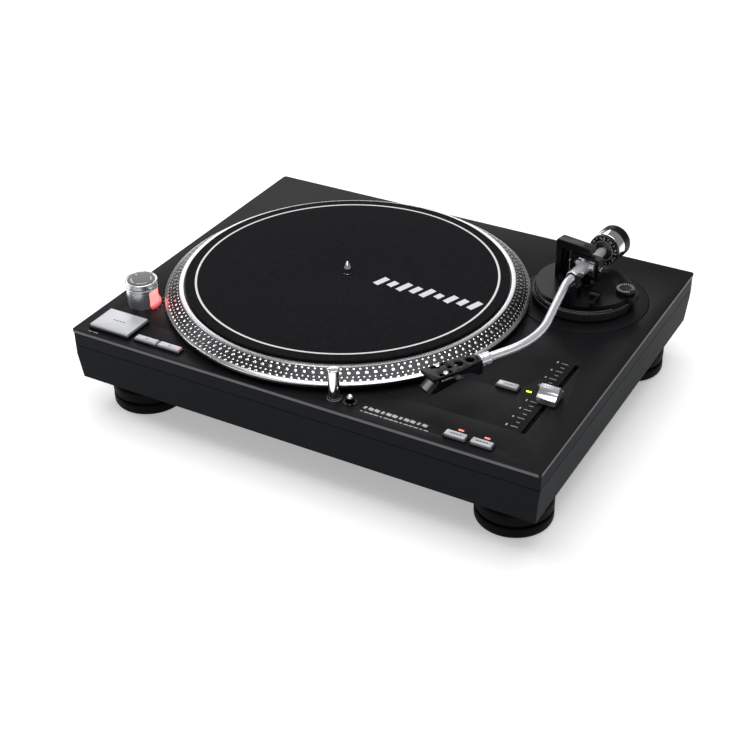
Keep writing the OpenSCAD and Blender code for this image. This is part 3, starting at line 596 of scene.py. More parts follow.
# ---------------------------------------------------------------- plain finishes on the CAD nodes
plainFinish = {
    "sidePaint": ["plinth_cover"],
    "basePlastic": ["plinth_base"],
    "deckPaintWithPaintedHighlight": ["deck_plate", "arm_base_plate"],
    "footRubber": ["foot_front_left", "foot_front_right", "foot_back_left", "foot_back_right"],
    "steel": ["weight_plate", "base_screws", "lamp_guide"],
    "darkSteel": ["magnet_rotor", "bearing_housing", "fader_body"],
    "copper": ["motor_stator"],
    "circuitBoard": ["control_board"],
    "brass": ["thread_bush", "phono_jacks"],
    "chrome": ["spindle", "popup_lamp", "lamp_release", "ground_terminal"],
    "silverSatin": ["strobe_housing", "power_knob"],
    "silverCap": ["start_button", "speed_button_33", "speed_button_45", "option_button_left",
    "option_button_right", "reset_button", "pitch_cap"],
    "platterDark": ["platter"],
    "felt": ["slipmat"],
    "strobeLight": ["strobe_window"],
    "redLight": ["red_indicators"],
    "greenLight": ["pitch_indicator"],
    "glossBlack": ["start_bezel", "button_bezels", "release_guide", "cartridge"],
    "blackPlastic": ["transformer", "rear_panel", "mains_inlet", "height_scale_cover", "armrest",
    "armrest_clip", "arm_base_sleeve", "weight_dial"],
    "whitePlastic": ["line_switch"],
    "armBlack": ["height_ring", "arm_pillar", "bearing_arch", "antiskate_knob", "cue_lever", "lift_bar",
    "gimbal_frame", "headshell", "counterweight"],
    "armSatin": ["arm_tube", "locking_collar"],
}
for stuff, names in plainFinish.items():
    for node in names:
        cad[node].data.materials.clear()
        cad[node].data.materials.append(materials[stuff])
print("finishes on the CAD nodes")

# ---------------------------------------------------------------- platter
rim = (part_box("platter")[1].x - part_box("platter")[0].x) / 2
platterTop = topOf("platter")
matTop = topOf("slipmat")
slopeFoot = np.array([rim - 2.1 * mm, deckTop + 8.6 * mm])
slopeHead = np.array([rim - 13.2 * mm, deckTop + 16.2 * mm])
slopeWay = (slopeHead - slopeFoot) / np.linalg.norm(slopeHead - slopeFoot)
slopeOut = np.array([slopeWay[1], -slopeWay[0]])
low = deckTop + 3.5 * mm


def profileOf(*rows):
    return [(a * mm, b * mm) for a, b in rows]


def risen(base, *rows):
    # radii and heights in millimetres, the heights above one level
    return [(r * mm, base + h * mm) for r, h in rows]


def platterShell():
    inner = rim - 18 * mm
    web = platterTop - 4 * mm
    profile = [(8 * mm, web - 2 * mm), (24 * mm, web - 2 * mm), (26 * mm, web), (inner, web),
            (inner, low + mm), (inner + mm, low),
               (rim - mm, low), (rim, low + mm), (rim, deckTop + 7.4 * mm),
               (rim - 0.8 * mm, deckTop + 8.2 * mm), tuple(slopeFoot),
               tuple(slopeHead), (rim - 14 * mm, platterTop), (8 * mm, platterTop), (8 * mm, web - 2 * mm)]
    shown(turned("platterShell", profile, "platter", "platterDark", steps=160), "platter")


def brightBands():
    head = deckTop + 16.4 * mm
    upper = [(148.2 * mm, platterTop - mm), (rim - 13.4 * mm, head - 0.8 * mm), (rim - 13.1 * mm, head),
            (rim - 13.6 * mm, platterTop + 0.25 * mm),
             (148.6 * mm, platterTop + 0.35 * mm), (148.2 * mm, platterTop), (148.2 * mm, platterTop - mm)]
    lower = [(rim - 3 * mm, deckTop + 7 * mm), (rim - 3 * mm, deckTop + 9.2 * mm),
            (rim - 2.1 * mm, deckTop + 8.9 * mm), (rim + 0.05 * mm, deckTop + 7.9 * mm),
             (rim + 0.1 * mm, deckTop + 6.6 * mm), (rim - 0.5 * mm, deckTop + 6.2 * mm),
             (rim - 3 * mm, deckTop + 7 * mm)]
    turned("upperBand", upper, "platter", "platterBright", steps=160, radius=0.0002)
    turned("lowerBand", lower, "platter", "platterBright", steps=160, radius=0.0002)


def dotRow(name, radius, count, across):
    # small domes on the sloping band: (cos, sin) rings along the rim and the slope, raised outward
    angle = np.arange(count) * math.tau / count
    out = np.stack([np.cos(angle), np.sin(angle), np.zeros(count)], -1)
    along = np.stack([-np.sin(angle), np.cos(angle), np.zeros(count)], -1)
    share = (radius - slopeFoot[0]) / (slopeHead[0] - slopeFoot[0])
    height = slopeFoot[1] + share * (slopeHead[1] - slopeFoot[1])
    centre = np.array([*spindle, height]) + radius * out
    slope = slopeWay[0] * out + slopeWay[1] * up
    lift = slopeOut[0] * out + slopeOut[1] * up
    turn = np.arange(8) * math.tau / 8
    size = np.array([1.0, 0.96, 0.6, 0.0]) * across / 2
    rising = np.array([-0.15, 0.14, 0.3, 0.36]) * mm
    ringWay = np.cos(turn)[None, :, None] * along[:, None] + np.sin(turn)[None, :, None] * slope[:, None]
    points = centre[:, None, None] + size[None, :, None, None] * ringWay[:, None] + rising[None, :, None,
            None] * lift[:, None, None]
    faces = gridFaces(4, 8, loopColumns=True)
    faces = (faces[None] + 32 * np.arange(count)[:, None, None]).reshape(-1, 4)
    meshOf(name, points.reshape(-1, 3), faces, "platter", "dotSilver")


def slipmatFelt():
    radius = (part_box("slipmat")[1].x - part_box("slipmat")[0].x) / 2
    profile = [(4.4 * mm, platterTop), (radius, platterTop), (radius, matTop), (4.4 * mm, matTop),
            (4.4 * mm, platterTop)]
    felt = turned("slipmatFelt", profile, "platter", "felt", steps=160, radius=0.0011)
    shown(felt, "slipmat")


def matPrint():
    # a plain row of slanted bars
    rows = []
    for i in range(9):
        tall = (7.5, 5.0, 8.0, 6.0, 8.0, 4.0, 7.0, 5.5, 7.5)[i]
        rows.append((81 + (i - 4) * 11.6 * 1.0 - 42, -4, 0, 3.2, tall, 0.03, -0.35))
    rows = np.array(rows) * np.array([mm, mm, 1, mm, mm, mm, 1])
    rows[:, 2] = matTop + 0.02 * mm
    slabs("matPrint", rows, "platter", "printWhite")


def spindlePin():
    low = platterTop - mm
    profile = [(0, low), (7.8 * mm, low), (7.8 * mm, low + 0.6 * mm), (3.775 * mm, platterTop + 0.1 * mm),
            (3.775 * mm, matTop + 0.2 * mm),
               (3.575 * mm, matTop + 0.4 * mm), (3.575 * mm, matTop + 5.5 * mm),
               (0.9 * mm, matTop + 11.7 * mm), (0, matTop + 12 * mm)]
    shown(turned("spindlePin", profile, "platter", "chrome", steps=64), "spindle")


platterShell()
brightBands()
for row, (radius, count, across) in enumerate(((154.1, 180, 2.2), (157.0, 133, 3.1), (160.1, 216, 1.9),
        (162.7, 160, 2.6))):
    dotRow(f"strobeDots{row}", radius * mm, count, across * mm)
slipmatFelt()
matPrint()
spindlePin()
print("platter made")

# ---------------------------------------------------------------- plinth
tower = middle("power_knob")[:2]
lamp = middle("popup_lamp")[:2]
release = middle("lamp_release")[:2]
startAt = middle("start_bezel")[:2]
fader = middle("fader_body")[:2]
baseDisc = middle("arm_base_plate")[:2]
speedSize, optionSize, startSize = np.array([22, 6.4]) * mm, np.array([17.5, 6.4]) * mm, np.array([41,
        30]) * mm
barButtons = {"speed_button_33": speedSize, "speed_button_45": speedSize,
        "option_button_left": optionSize, "option_button_right": optionSize,
              "reset_button": optionSize}


def deckSheet():
    edge = roundedOutline(450 * mm, 352 * mm, 3 * mm, 12)
    holes = [circle(*spindle, 15 * mm, 64), circle(*tower, 4 * mm, 32), circle(*lamp, 5.5 * mm, 40),
            circle(*release, 5.4 * mm, 40),
             circle(*baseDisc, 59.3 * mm, 160), moved(roundedOutline(*(startSize + 0.6 * mm), 1 * mm),
             *startAt),
             moved(roundedOutline(3.6 * mm, 111 * mm, 1.6 * mm, 10), *fader)]
    for node, size in barButtons.items():
        holes.append(moved(roundedOutline(*(size + 0.6 * mm), 0.6 * mm), *middle(node)[:2]))
    sheet = plate("deckSheet", [edge, *holes], 3 * mm, 0.45 * mm, upright(deckTop - 1.5 * mm), "plinth",
            "deckPaintWithPaintedHighlight")
    shown(sheet, "deck_plate")


def sideBand():
    under, seam = deckTop - 3 * mm, deckTop - 16 * mm
    levels = [(seam, 0.8 * mm), (seam + 0.6 * mm, 0), (under - 0.5 * mm, 0), (under, 0.5 * mm),
            (under, 3 * mm), (seam, 3 * mm)]
    shown(stacked("sideBand", (0, 0), 449 * mm, 351 * mm, 3 * mm, levels, "plinth", "sidePaint",
            closed=False, loop=True), "plinth_cover")


def feet():
    profile = profileOf((0, 0), (30, 0), (32.2, 1.2), (33, 3), (33, 9.2), (32.2, 10.4), (30, 10.8),
            (30, 12.6), (32.2, 13), (33, 14.2), (33, 22),
                        (31.4, 24), (21, 25), (21, 36), (0, 36))
    for node in ("foot_front_left", "foot_front_right", "foot_back_left", "foot_back_right"):
        words = node.split("_")
        name = words[0] + words[1].title() + words[2].title()
        shown(turned(name, profile, "plinth", "footRubber", centre=[*middle(node)[:2], 0], steps=96,
                radius=0.0007), node)


def strobeTower():
    lift = deckTop
    split = lift + 18.9 * mm
    wall = [(12.2 * mm, lift), (14.2 * mm, lift), (14.2 * mm, split - 2.6 * mm),
            (12.2 * mm, split - 2.6 * mm)]
    arcBlock("towerWall", tower, wall, 94.4, 333.6, "plinth", "silverSatin", steps=64)
    collar = risen(split, (3.6, -2.7), (14.2, -2.7), (14.2, -0.4), (3.6, -0.4), (3.6, -2.7))
    shown(turned("towerCollar", collar, "plinth", "silverSatin", centre=[*tower, 0], steps=96),
            "strobe_housing")
    pane = [(12.0 * mm, lift), (13.8 * mm, lift), (13.8 * mm, split - 3.0 * mm),
            (12.0 * mm, split - 3.0 * mm)]
    arcBlock("strobePane", tower, pane, -24.6, 92.6, "plinth", "strobeLight", steps=48)
    lip = risen(lift, (13.4, 0), (16.3, 0), (16.3, 1.4), (15.7, 2.2), (13.4, 2.2))
    shown(arcBlock("strobeLip", tower, lip, -24.8, 92.8, "plinth", "dimRed", steps=48), "strobe_window")
    top = lift + 24.5 * mm
    knob = [(0, split), (13.6 * mm, split), (14.2 * mm, split + 0.5 * mm), (14.2 * mm, top - 1.6 * mm),
            (14.6 * mm, top - 1.2 * mm), (14.6 * mm, top - 0.4 * mm),
            (14.1 * mm, top), (13.4 * mm, top), (13.4 * mm, top - 0.5 * mm), (0, top - 0.5 * mm)]
    stem = [(0, lift - 9 * mm), (3 * mm, lift - 9 * mm), (3 * mm, split + 0.2 * mm), (0, split + 0.2 * mm)]
    turned("knobStem", stem, "power_knob", "darkSteel", centre=[*tower, 0], steps=32)
    shown(turned("knobCap", knob, "power_knob", "silverSatin", centre=[*tower, 0], steps=96,
            radius=0.0002), "power_knob")
    face = risen(top, (0, -0.52), (12.6, -0.52), (12.6, -0.25), (0, -0.2))
    turned("knobFace", face, "power_knob", "glossBlack", centre=[*tower, 0], steps=96)
    mark = risen(top, (8.6, -0.3), (9.4, -0.3), (9.4, -0.12), (8.6, -0.12))
    for k, (start, stop) in enumerate(((200, 262), (278, 340), (20, 60))):
        arcBlock(f"knobArc{k}", tower, mark, start, stop, "power_knob", "printWhite", steps=20)
    slabs("knobPointer", [(tower[0] - 8.9 * mm, tower[1] + 4.4 * mm, top - 0.2 * mm, 1.6 * mm, 0.4 * mm,
            0.08 * mm, math.radians(-26))],
          "power_knob", "printWhite")


def buttons():
    root = deckTop - 6 * mm
    w, d = startSize
    top = topOf("start_button")
    levels = [(root, 0), (top - 0.7 * mm, 0), (top - 0.25 * mm, 0.12 * mm), (top - 0.06 * mm, 0.4 * mm),
            (top, 0.9 * mm)]
    shown(stacked("startCap", startAt, w, d, 1 * mm, levels, "start_button", "silverCap"), "start_button")
    for node, size in barButtons.items():
        top = topOf(node)
        levels = [(root, 0), (top - 0.5 * mm, 0), (top - 0.12 * mm, 0.12 * mm), (top, 0.5 * mm)]
        words = node.split("_")
        name = words[0] + "Cap" + words[-1].title()
        shown(stacked(name, middle(node)[:2], *size, 0.6 * mm, levels, node, "silverCap"), node)


def bezels():
    frames = [("startFrame", startAt, startSize, 2.4, 1.0, "start_bezel")]
    frames += [("barFrame" + str(k), middle(node)[:2], size, 1.4, 0.6, "button_bezels") for k,
            (node, size) in enumerate(barButtons.items())]
    for name, spot, size, high, corner, node in frames:
        w, d = size + 2 * 1.5 * mm
        high = high * mm
        levels = [(deckTop, 0), (deckTop + high - 0.5 * mm, 0), (deckTop + high - 0.12 * mm, 0.12 * mm),
                (deckTop + high, 0.45 * mm),
                  (deckTop + high, 1.1 * mm), (deckTop + high - 0.3 * mm, 1.25 * mm), (deckTop, 1.25 * mm)]
        shown(stacked(name, spot, w, d, (corner + 1.5) * mm, levels, "plinth", "glossBlack", closed=False,
                loop=True), node)


def lights():
    for k, node in enumerate(("option_button_left", "option_button_right")):
        x, y = middle(node)[:2]
        y += (3.2 + 6.6) * mm
        levels = [(deckTop, 0), (deckTop + 0.35 * mm, 0), (deckTop + 0.5 * mm, 0.25 * mm)]
        piece = stacked("redLight" + "LeftRight"[4 * k:4 + 5 * k], (x, y), 4.6 * mm, 1.7 * mm, 0.5 * mm,
                levels, "plinth", "redLight")
        shown(piece, "red_indicators")
    x, y = middle("pitch_indicator")[:2]
    levels = [(deckTop, 0), (deckTop + 0.35 * mm, 0), (deckTop + 0.5 * mm, 0.25 * mm)]
    shown(stacked("greenLight", (x, y), 4.6 * mm, 1.7 * mm, 0.5 * mm, levels, "plinth", "greenLight"),
            "pitch_indicator")
    x, y = middle("speed_button_45")[:2]
    top = topOf("speed_button_45")
    slabs("speedLight", [(x + 8.9 * mm, y, top + 0.03 * mm, 1.3 * mm, 0.9 * mm, 0.06 * mm, 0)],
            "speed_button_45", "redLight")


def deckPrint():
    z = deckTop + 0.02 * mm
    thin = 0.02 * mm
    rows = []
    x, y = startAt
    rows += [(x - 17 * mm, y - 19.6 * mm, z, 2 * mm, 0.35 * mm, thin, 0),
            (x - 11 * mm, y - 19.6 * mm, z, 2.6 * mm, 0.35 * mm, thin, 0)]
    for node in ("speed_button_33", "speed_button_45"):
        bx, by = middle(node)[:2]
        rows += [(bx, by + 6.4 * mm, z, 8 * mm, 0.14 * mm, thin, 0),
                (bx - 8 * mm, by + 5.8 * mm, z, 0.14 * mm, 0.6 * mm, thin, 0),
                 (bx + 8 * mm, by + 5.8 * mm, z, 0.14 * mm, 0.6 * mm, thin, 0)]
    for k in range(11):
        rows.append(((64 + 5.4 * k) * mm, -159.6 * mm, z, (2.2 if k % 3 else 1.2) * mm, 1.7 * mm, thin,
                -0.2))
    for k in range(14):
        rows.append(((63.4 + 4.5 * k) * mm, -165.4 * mm, z, (1.9 if k % 4 else 1.1) * mm, 0.5 * mm, thin,
                0))
    for node in ("option_button_left", "option_button_right", "reset_button"):
        bx, by = middle(node)[:2]
        rows.append((bx, by + 6.2 * mm, z, 4.2 * mm, 0.35 * mm, thin, 0))
    for k in range(-2, 3):
        a = math.radians(34 + 22 * k)
        rows.append((tower[0] + 18.4 * mm * math.cos(a), tower[1] + 18.4 * mm * math.sin(a), z, 0.9 * mm,
                0.2 * mm, thin, a))
    slabs("deckMarks", rows, "plinth", "printGrey")
    for node, wide in (("start_button", 5.5), ("option_button_left", 4.5), ("option_button_right", 4.5),
            ("reset_button", 3.6)):
        bx, by = startAt if node == "start_button" else middle(node)[:2]
        rows = [(bx + (k - 1.5) * wide * 0.6 * mm, by, topOf(node) + 0.01 * mm, wide * 0.22 * mm,
                0.45 * mm, thin, 0) for k in range(4)]
        slabs(node.split("_")[0] + "Dashes" + node.split("_")[-1].title(), rows, node, "blackPlastic")
    for node, figure in (("speed_button_33", "33"), ("speed_button_45", "45")):
        spot = Matrix.Translation((*middle(node)[:2], topOf(node) + 0.01 * mm))
        writing("speedFigure" + figure, figure, 3.4 * mm, spot, node, "blackPlastic")


def pitchScale():
    z = deckTop + 0.02 * mm
    rows = []
    for k in range(17):
        y = fader[1] + (k - 8) * 6.375 * mm + 0.9 * mm
        wide = 3.15 if k % 2 == 0 else 1.75
        rows.append((fader[0] - (9.5 if k % 2 else 9.9) * mm, y, z, wide * mm, 0.17 * mm, 0.02 * mm, 0))
    slabs("scaleTicks", rows, "plinth", "printWhite")
    for k, figure in enumerate(("8", "6", "4", "2", "2", "4", "6", "8")):
        step = (k - 4 if k < 4 else k - 3) * 2
        spot = Matrix.Translation((fader[0] - 16.6 * mm, fader[1] + step * 6.375 * mm + 0.9 * mm, z))
        writing("scaleFigure" + "ABCDEFGH"[k], figure, 3.6 * mm, spot, "plinth", "printWhite")


def popLamp():
    top = topOf("popup_lamp")
    profile = [(0, deckTop - 16 * mm), (4.9 * mm, deckTop - 16 * mm), (4.9 * mm, top - 0.9 * mm),
            (4.2 * mm, top - 0.1 * mm), (3.4 * mm, top), (0, top)]
    shown(turned("lampTube", profile, "popup_lamp", "chrome", centre=[*lamp, 0], steps=64), "popup_lamp")
    facing = math.atan2(spindle[1] - lamp[1], spindle[0] - lamp[0])
    spot = lamp + 4.8 * mm * np.array([math.cos(facing), math.sin(facing)])
    slabs("lampWindow", [(*spot, top - 6 * mm, 0.25 * mm, 1.3 * mm, 3 * mm, facing)], "popup_lamp",
            "warmLight")
    collar = risen(deckTop, (5.2, -0.6), (6.6, -0.6), (6.6, 0.3), (6.2, 0.6), (5.2, 0.6), (5.2, -0.6))
    turned("lampCollar", collar, "plinth", "darkSteel", centre=[*lamp, 0], steps=64)
    top = topOf("lamp_release")
    profile = [(0, deckTop - 8 * mm), (1.6 * mm, deckTop - 8 * mm), (1.6 * mm, top - 3.2 * mm),
            (2.9 * mm, top - 3 * mm), (2.9 * mm, top - 1.9 * mm), (2.3 * mm, top - 0.8 * mm),
               (1.1 * mm, top - 0.1 * mm), (0, top)]
    shown(turned("releaseCap", profile, "lamp_release", "chrome", centre=[*release, 0], steps=48,
            slot="silver"), "lamp_release")


def pitchGrip():
    x, y = middle("pitch_cap")[:2]
    base = deckTop + 1.2 * mm
    t = np.linspace(0, 1, 7)[:, None]
    slope = (1 - t) ** 2 * np.array([9.4, 5.0]) + 2 * t * (1 - t) * np.array([3.6,
            5.6]) + t**2 * np.array([2.4, 11.9])
    side = np.concatenate([[[9.4, 0.0]], slope])
    outline = np.concatenate([side, side[::-1] * [-1, 1]]) * mm
    placed = framed((x, y, base), (0, 1, 0), (0, 0, 1))
    shown(plate("pitchGrip", [outline], 16.8 * mm, 0.4 * mm, placed, "pitch_cap", "gripSilver"),
            "pitch_cap")
    slabs("pitchLine", [(x, y, base + 12.0 * mm, 7.6 * mm, 0.42 * mm, 0.1 * mm, 0)], "pitch_cap",
            "printWhite")
    slabs("pitchStem", [(x, y, deckTop - 3 * mm, 1.4 * mm, 3 * mm, 4.4 * mm, 0)], "pitch_cap", "darkSteel")


deckSheet()
sideBand()
feet()
strobeTower()
buttons()
bezels()
lights()
deckPrint()
pitchScale()
popLamp()
pitchGrip()
print("plinth made")

# ---------------------------------------------------------------- tonearm
armFront = -armBack
armRight = np.cross(up, armFront)
bearingRight = -np.array(jointCalled("arm_pitch")["axis"])
bearingBack = np.cross(up, bearingRight)
shellWay = shellAxis * np.sign(np.dot(shellAxis, shellRoot - pivot))
shellRight = np.cross(up, shellWay)
shellTurn = math.atan2(shellRight[1], shellRight[0])
archTop = topOf("bearing_arch")


def armPoint(x, y, z=0.0):
    return pivot + (x * armRight + y * armBack + z * up) * mm


def shellPoint(x, y, z=0.0):
    return shellRoot + (x * shellRight - y * shellWay + z * up) * mm


def bearingPoint(x, y, z):
    return np.array([pivot[0], pivot[1], 0.0]) + (x * bearingRight + y * bearingBack) * mm + z * up


def tubePath():
    # the heading is the running total of curvature times length, the place that of the heading
    pieces = ((8.4, 0), (60 * math.radians(15.2), 1 / 60), (61.8, 0),
            (86.5 * math.radians(39.6), -1 / 86.5), (26, 0))
    ends = np.cumsum([length for length, _ in pieces])
    step = np.linspace(0, ends[-1], 240)
    curve = np.select([step <= e for e in ends], [c for _, c in pieces])
    heading = np.concatenate([[0], np.cumsum((curve[1:] + curve[:-1]) / 2 * np.diff(step))])
    way = np.cos(heading)[:, None] * armFront + np.sin(heading)[:, None] * armRight
    path = armPoint(0, -20) + np.concatenate([np.zeros((1, 3)),
            np.cumsum((way[1:] + way[:-1]) / 2 * np.diff(step)[:, None], 0)]) * mm
    return path + (step / ends[-1])[:, None] * (shellRoot - path[-1])


def armTube():
    tube = swept("armTube", tubePath(), 3.6 * mm, "tonearm", "armSatin", sides=32)
    shown(tube, "arm_tube")
    sleeve = profileOf((0, -27.5), (5.2, -27.5), (5.75, -26.9), (5.75, 7.4), (5.15, 8), (5.15, 20),
            (4.4, 20.4), (4.4, 29), (3, 29.2), (3, 61.4), (2.4, 62), (0, 62))
    shown(turned("armSleeve", sleeve, "tonearm", "armSatin", centre=pivot, axis=armBack, steps=64),
            "arm_tube")
    lip = profileOf((3.7, -27.9), (4.9, -27.9), (4.9, -27.3), (3.7, -27.3), (3.7, -27.9))
    turned("sleeveMouth", lip, "tonearm", "glossBlack", centre=pivot, axis=armBack, steps=48,
            radius=0.0001, slot="arm_chrome")
    boss = profileOf((0, -9.2), (3.8, -9.2), (4.2, -8.8), (4.2, 8.8), (3.8, 9.2), (0, 9.2))
    shown(turned("pivotBoss", boss, "tonearm", "armSatin", centre=pivot, axis=bearingRight, steps=48),
            "arm_tube")
    collar = profileOf((3.64, -1.5), (4.9, -1.5), (5.2, -1.1), (5.2, 1.2), (4.9, 1.6), (4.9, 2.2),
            (5.2, 2.6), (5.2, 8.1), (4.8, 8.5), (3.64, 8.5), (3.64, -1.5))
    shown(turned("collarRing", collar, "locking_collar", "armSatin", centre=shellRoot, axis=-shellWay,
            steps=64, radius=0.0002), "locking_collar")
    pin = profileOf((0, 0), (1.2, 0), (1.2, 6.6), (0.8, 7.0), (0, 7.0))
    shown(turned("collarPin", pin, "locking_collar", "chrome", centre=shellPoint(0, 4), axis=-up,
            steps=24, slot="arm_chrome"), "locking_collar")


def halfWidth(y):
    return np.interp(y, (8, 24), (6.5, 9.3))


def headshellPieces():
    length = 51.0
    y = np.array([2, 8, 16, 24, 49.6, length])
    half = np.array([6.2, 6.5, 7.9, 9.3, 9.3, 8.0])
    side = np.stack([half, -y], -1)
    edge = np.concatenate([side, side[::-1] * [-1, 1]]) * mm
    holes = [circle(0, -10 * mm, 3.6 * mm, 40), circle(0, -20.5 * mm, 3.6 * mm, 40),
            circle(0, -29.5 * mm, 2 * mm, 28)]
    holes += [moved(roundedOutline(3 * mm, 12 * mm, 1.4 * mm), x * mm, -37 * mm) for x in (-6.3, 6.3)]
    top = framed(shellPoint(0, 0, 2.5), shellRight, -shellWay)
    shown(plate("shellTop", [edge, *holes], 2.2 * mm, 0.35 * mm, top, "tonearm", "armBlack"), "headshell")
    # each cheek: its outer side follows the half width and its foot the shell's lower edge
    y = np.linspace(2, 50.6, 40)
    foot = np.interp(y, (2, 6, 14, 30, length), (-8.5, -8.5, -3, 0.6, 1.0))
    for k, s in enumerate((-1, 1)):
        outer = s * halfWidth(y)
        inner = outer - s * 1.5
        rows = np.stack([np.stack([outer, -y, foot], -1), np.stack([outer, -y, np.full_like(y, 3.1)], -1),
                np.stack([inner, -y, np.full_like(y, 3.1)], -1),
                         np.stack([inner, -y, foot], -1)], 1)
        ends = rows.mean(1, keepdims=True)
        rows = np.concatenate([np.repeat(ends[:1], 4, 1), rows, np.repeat(ends[-1:], 4, 1)])
        spots = shellRoot + (rows[..., 0, None] * shellRight - rows[..., 1, None] * shellWay + rows[...,
                2, None] * up) * mm
        shown(gridPiece(("shellCheekLeft", "shellCheekRight")[k], spots, "tonearm", "armBlack",
                loopColumns=True), "headshell")
    slabs("shellBack", [(*shellPoint(0, -4, -2.6), 6.1 * mm, 2 * mm, 5.9 * mm, shellTurn),
            (*shellPoint(0, -50.2, 2.0), 7.6 * mm, 0.7 * mm, 0.95 * mm, shellTurn)],
          "tonearm", "armBlack")
    neck = profileOf((0, 1.8), (4.8, 1.8), (5.2, 2.1), (5.2, 2.7), (4.8, 3.0), (0, 3.0))
    turned("shellNeck", neck, "tonearm", "darkSteel", centre=shellRoot, axis=shellWay, steps=48,
            radius=0.0001, slot="arm_black")
    t = np.radians(np.linspace(0, 38, 14))
    reach = np.concatenate([[8.6, 10.4, 12.0], 13.3 + 10.6 * np.sin(t)])
    rise = np.concatenate([[1.6, 1.6, 1.6], 12.2 - 10.6 * np.cos(t)])
    path = np.array([shellPoint(a, -30, b) for a, b in zip(reach, rise)])
    wide = np.full(len(path), 3.5)
    wide[-3:] = (3.3, 2.7, 1.2)
    spun = swept("fingerLift", path, wide * mm, "tonearm", "armBlack", sides=28, flat=0.19)
    shown(spun, "headshell")
    for k, x in enumerate((-6.3, 6.3)):
        head = profileOf((0, 3.6), (2.3, 3.6), (2.3, 4.5), (1.9, 4.8), (1.2, 4.8), (1.0, 4.2), (0, 4.2))
        turned(("shellScrewLeft", "shellScrewRight")[k], head, "tonearm", "chrome",
                centre=shellPoint(x, -37), axis=up, steps=24, radius=0.0001)


def cartridgePieces():
    body = np.array([[26, 1.05], [45, 1.05], [45.4, -2.6], [53, -9.5], [53, -11.5], [46, -12],
            [26, -7.5]]) * mm
    placed = framed(shellRoot, shellWay, up)
    shown(plate("cartridgeBody", [body], 14 * mm, 0.5 * mm, placed, "tonearm", "glossBlack"), "cartridge")
    nose = np.array([[44.6, -2.4], [52.6, -9.6], [51.6, -9.9], [44.2, -3.4]]) * mm
    plate("cartridgeNose", [nose], 1.3 * mm, 0.15 * mm, framed(shellRoot + 0.35 * mm * up, shellWay, up),
            "tonearm", "printWhite")
    stripe = np.array([[29, -1.2], [41, -1.2], [41, -2.6], [29, -2.6]]) * mm
    plate("cartridgeStripe", [stripe], 14.12 * mm, 0.05 * mm, placed, "tonearm", "silverSatin")
    tip = profileOf((0, -13.6), (0.2, -13.55), (0.9, -10.6), (0, -10.6))
    turned("stylus", tip, "tonearm", "chrome", centre=shellPoint(0, -48.8), axis=up, steps=16,
            radius=0.00005)
    for k, stuff in enumerate(("leadRed", "leadWhite", "leadGreen", "leadBlue")):
        x = -4.2 + 2.8 * k
        t = np.linspace(0, 1, 16)
        path = np.array([shellPoint(x * (1 - 0.15 * math.sin(math.pi * s)), -5.6 - 20.6 * s,
                -2.2 - 2.6 * s - 2.4 * math.sin(math.pi * s)) for s in t])
        swept(stuff, path, 0.42 * mm, "tonearm", stuff, sides=10, slot="black_plastic")


def bearingPieces():
    low = platformTop + 0.02 * mm
    ground = archTop - platformTop
    corner = np.array([[-29.5, 0], [-29.5, ground / mm - 2.2], [-28.9, ground / mm - 0.7],
            [-27.4, ground / mm], [5.5, ground / mm], [5.5, ground / mm - 7],
                       [-20.6, ground / mm - 7], [-21.9, ground / mm - 7.6], [-22.5, ground / mm - 9],
                       [-22.5, 0]]) * mm
    placed = framed(bearingPoint(0, 0, low), bearingRight, up)
    shown(plate("archFrame", [corner], 10.8 * mm, 0.7 * mm, placed, "arm_pillar", "armBlack"),
            "bearing_arch")
    top = ground / mm - 7
    step = np.array([[-22.7, 1], [-22.7, top + 0.2], [-16, top + 0.2], [-16, top - 1.6],
            [-18.6, top - 2.1], [-19.6, top - 3.6], [-19.6, 1]]) * mm
    plate("archStep", [step], 6.4 * mm, 0.4 * mm, placed, "arm_pillar", "armBlack")
    foot = risen(low, (3.4, 0), (9, 0), (9, 0.9), (8.7, 1.2), (3.4, 1.2), (3.4, 0))
    shown(turned("bearingSeat", foot, "arm_pillar", "armBlack", centre=[*pivot[:2], 0], steps=64),
            "bearing_arch")
    screw = risen(archTop, (0, -3), (2.5, -3), (2.5, 0.35), (2.1, 0.6), (1.3, 0.6), (1.1, 0.1), (0, 0.1))
    turned("pivotScrew", screw, "gimbal", "steel", centre=[*pivot[:2], 0], steps=40, radius=0.0001)
    ringProfile = risen(archTop, (2.7, -0.2), (4.6, -0.2), (4.6, 0.1), (4.3, 0.3), (2.7, 0.3), (2.7, -0.2))
    turned("pivotNut", ringProfile, "arm_pillar", "armBlack", centre=[*pivot[:2], 0], steps=40,
            radius=0.0001)
    for k, s in enumerate((-1, 1)):
        stub = profileOf((0, 10.0), (2.9, 10.0), (2.9, 11.2), (0, 11.2))
        turned(("innerPinLeft", "innerPinRight")[k], stub, "gimbal", "chrome", centre=pivot,
                axis=s * bearingRight, steps=32, radius=0.0001)
        nut = profileOf((0, 14.3), (2.9, 14.3), (2.9, 16.6), (2.5, 17), (1.4, 17), (1.2, 16.2), (0, 16.2))
        turned(("outerPinLeft", "outerPinRight")[k], nut, "gimbal", "chrome", centre=pivot,
                axis=s * bearingRight, steps=32, radius=0.0001)


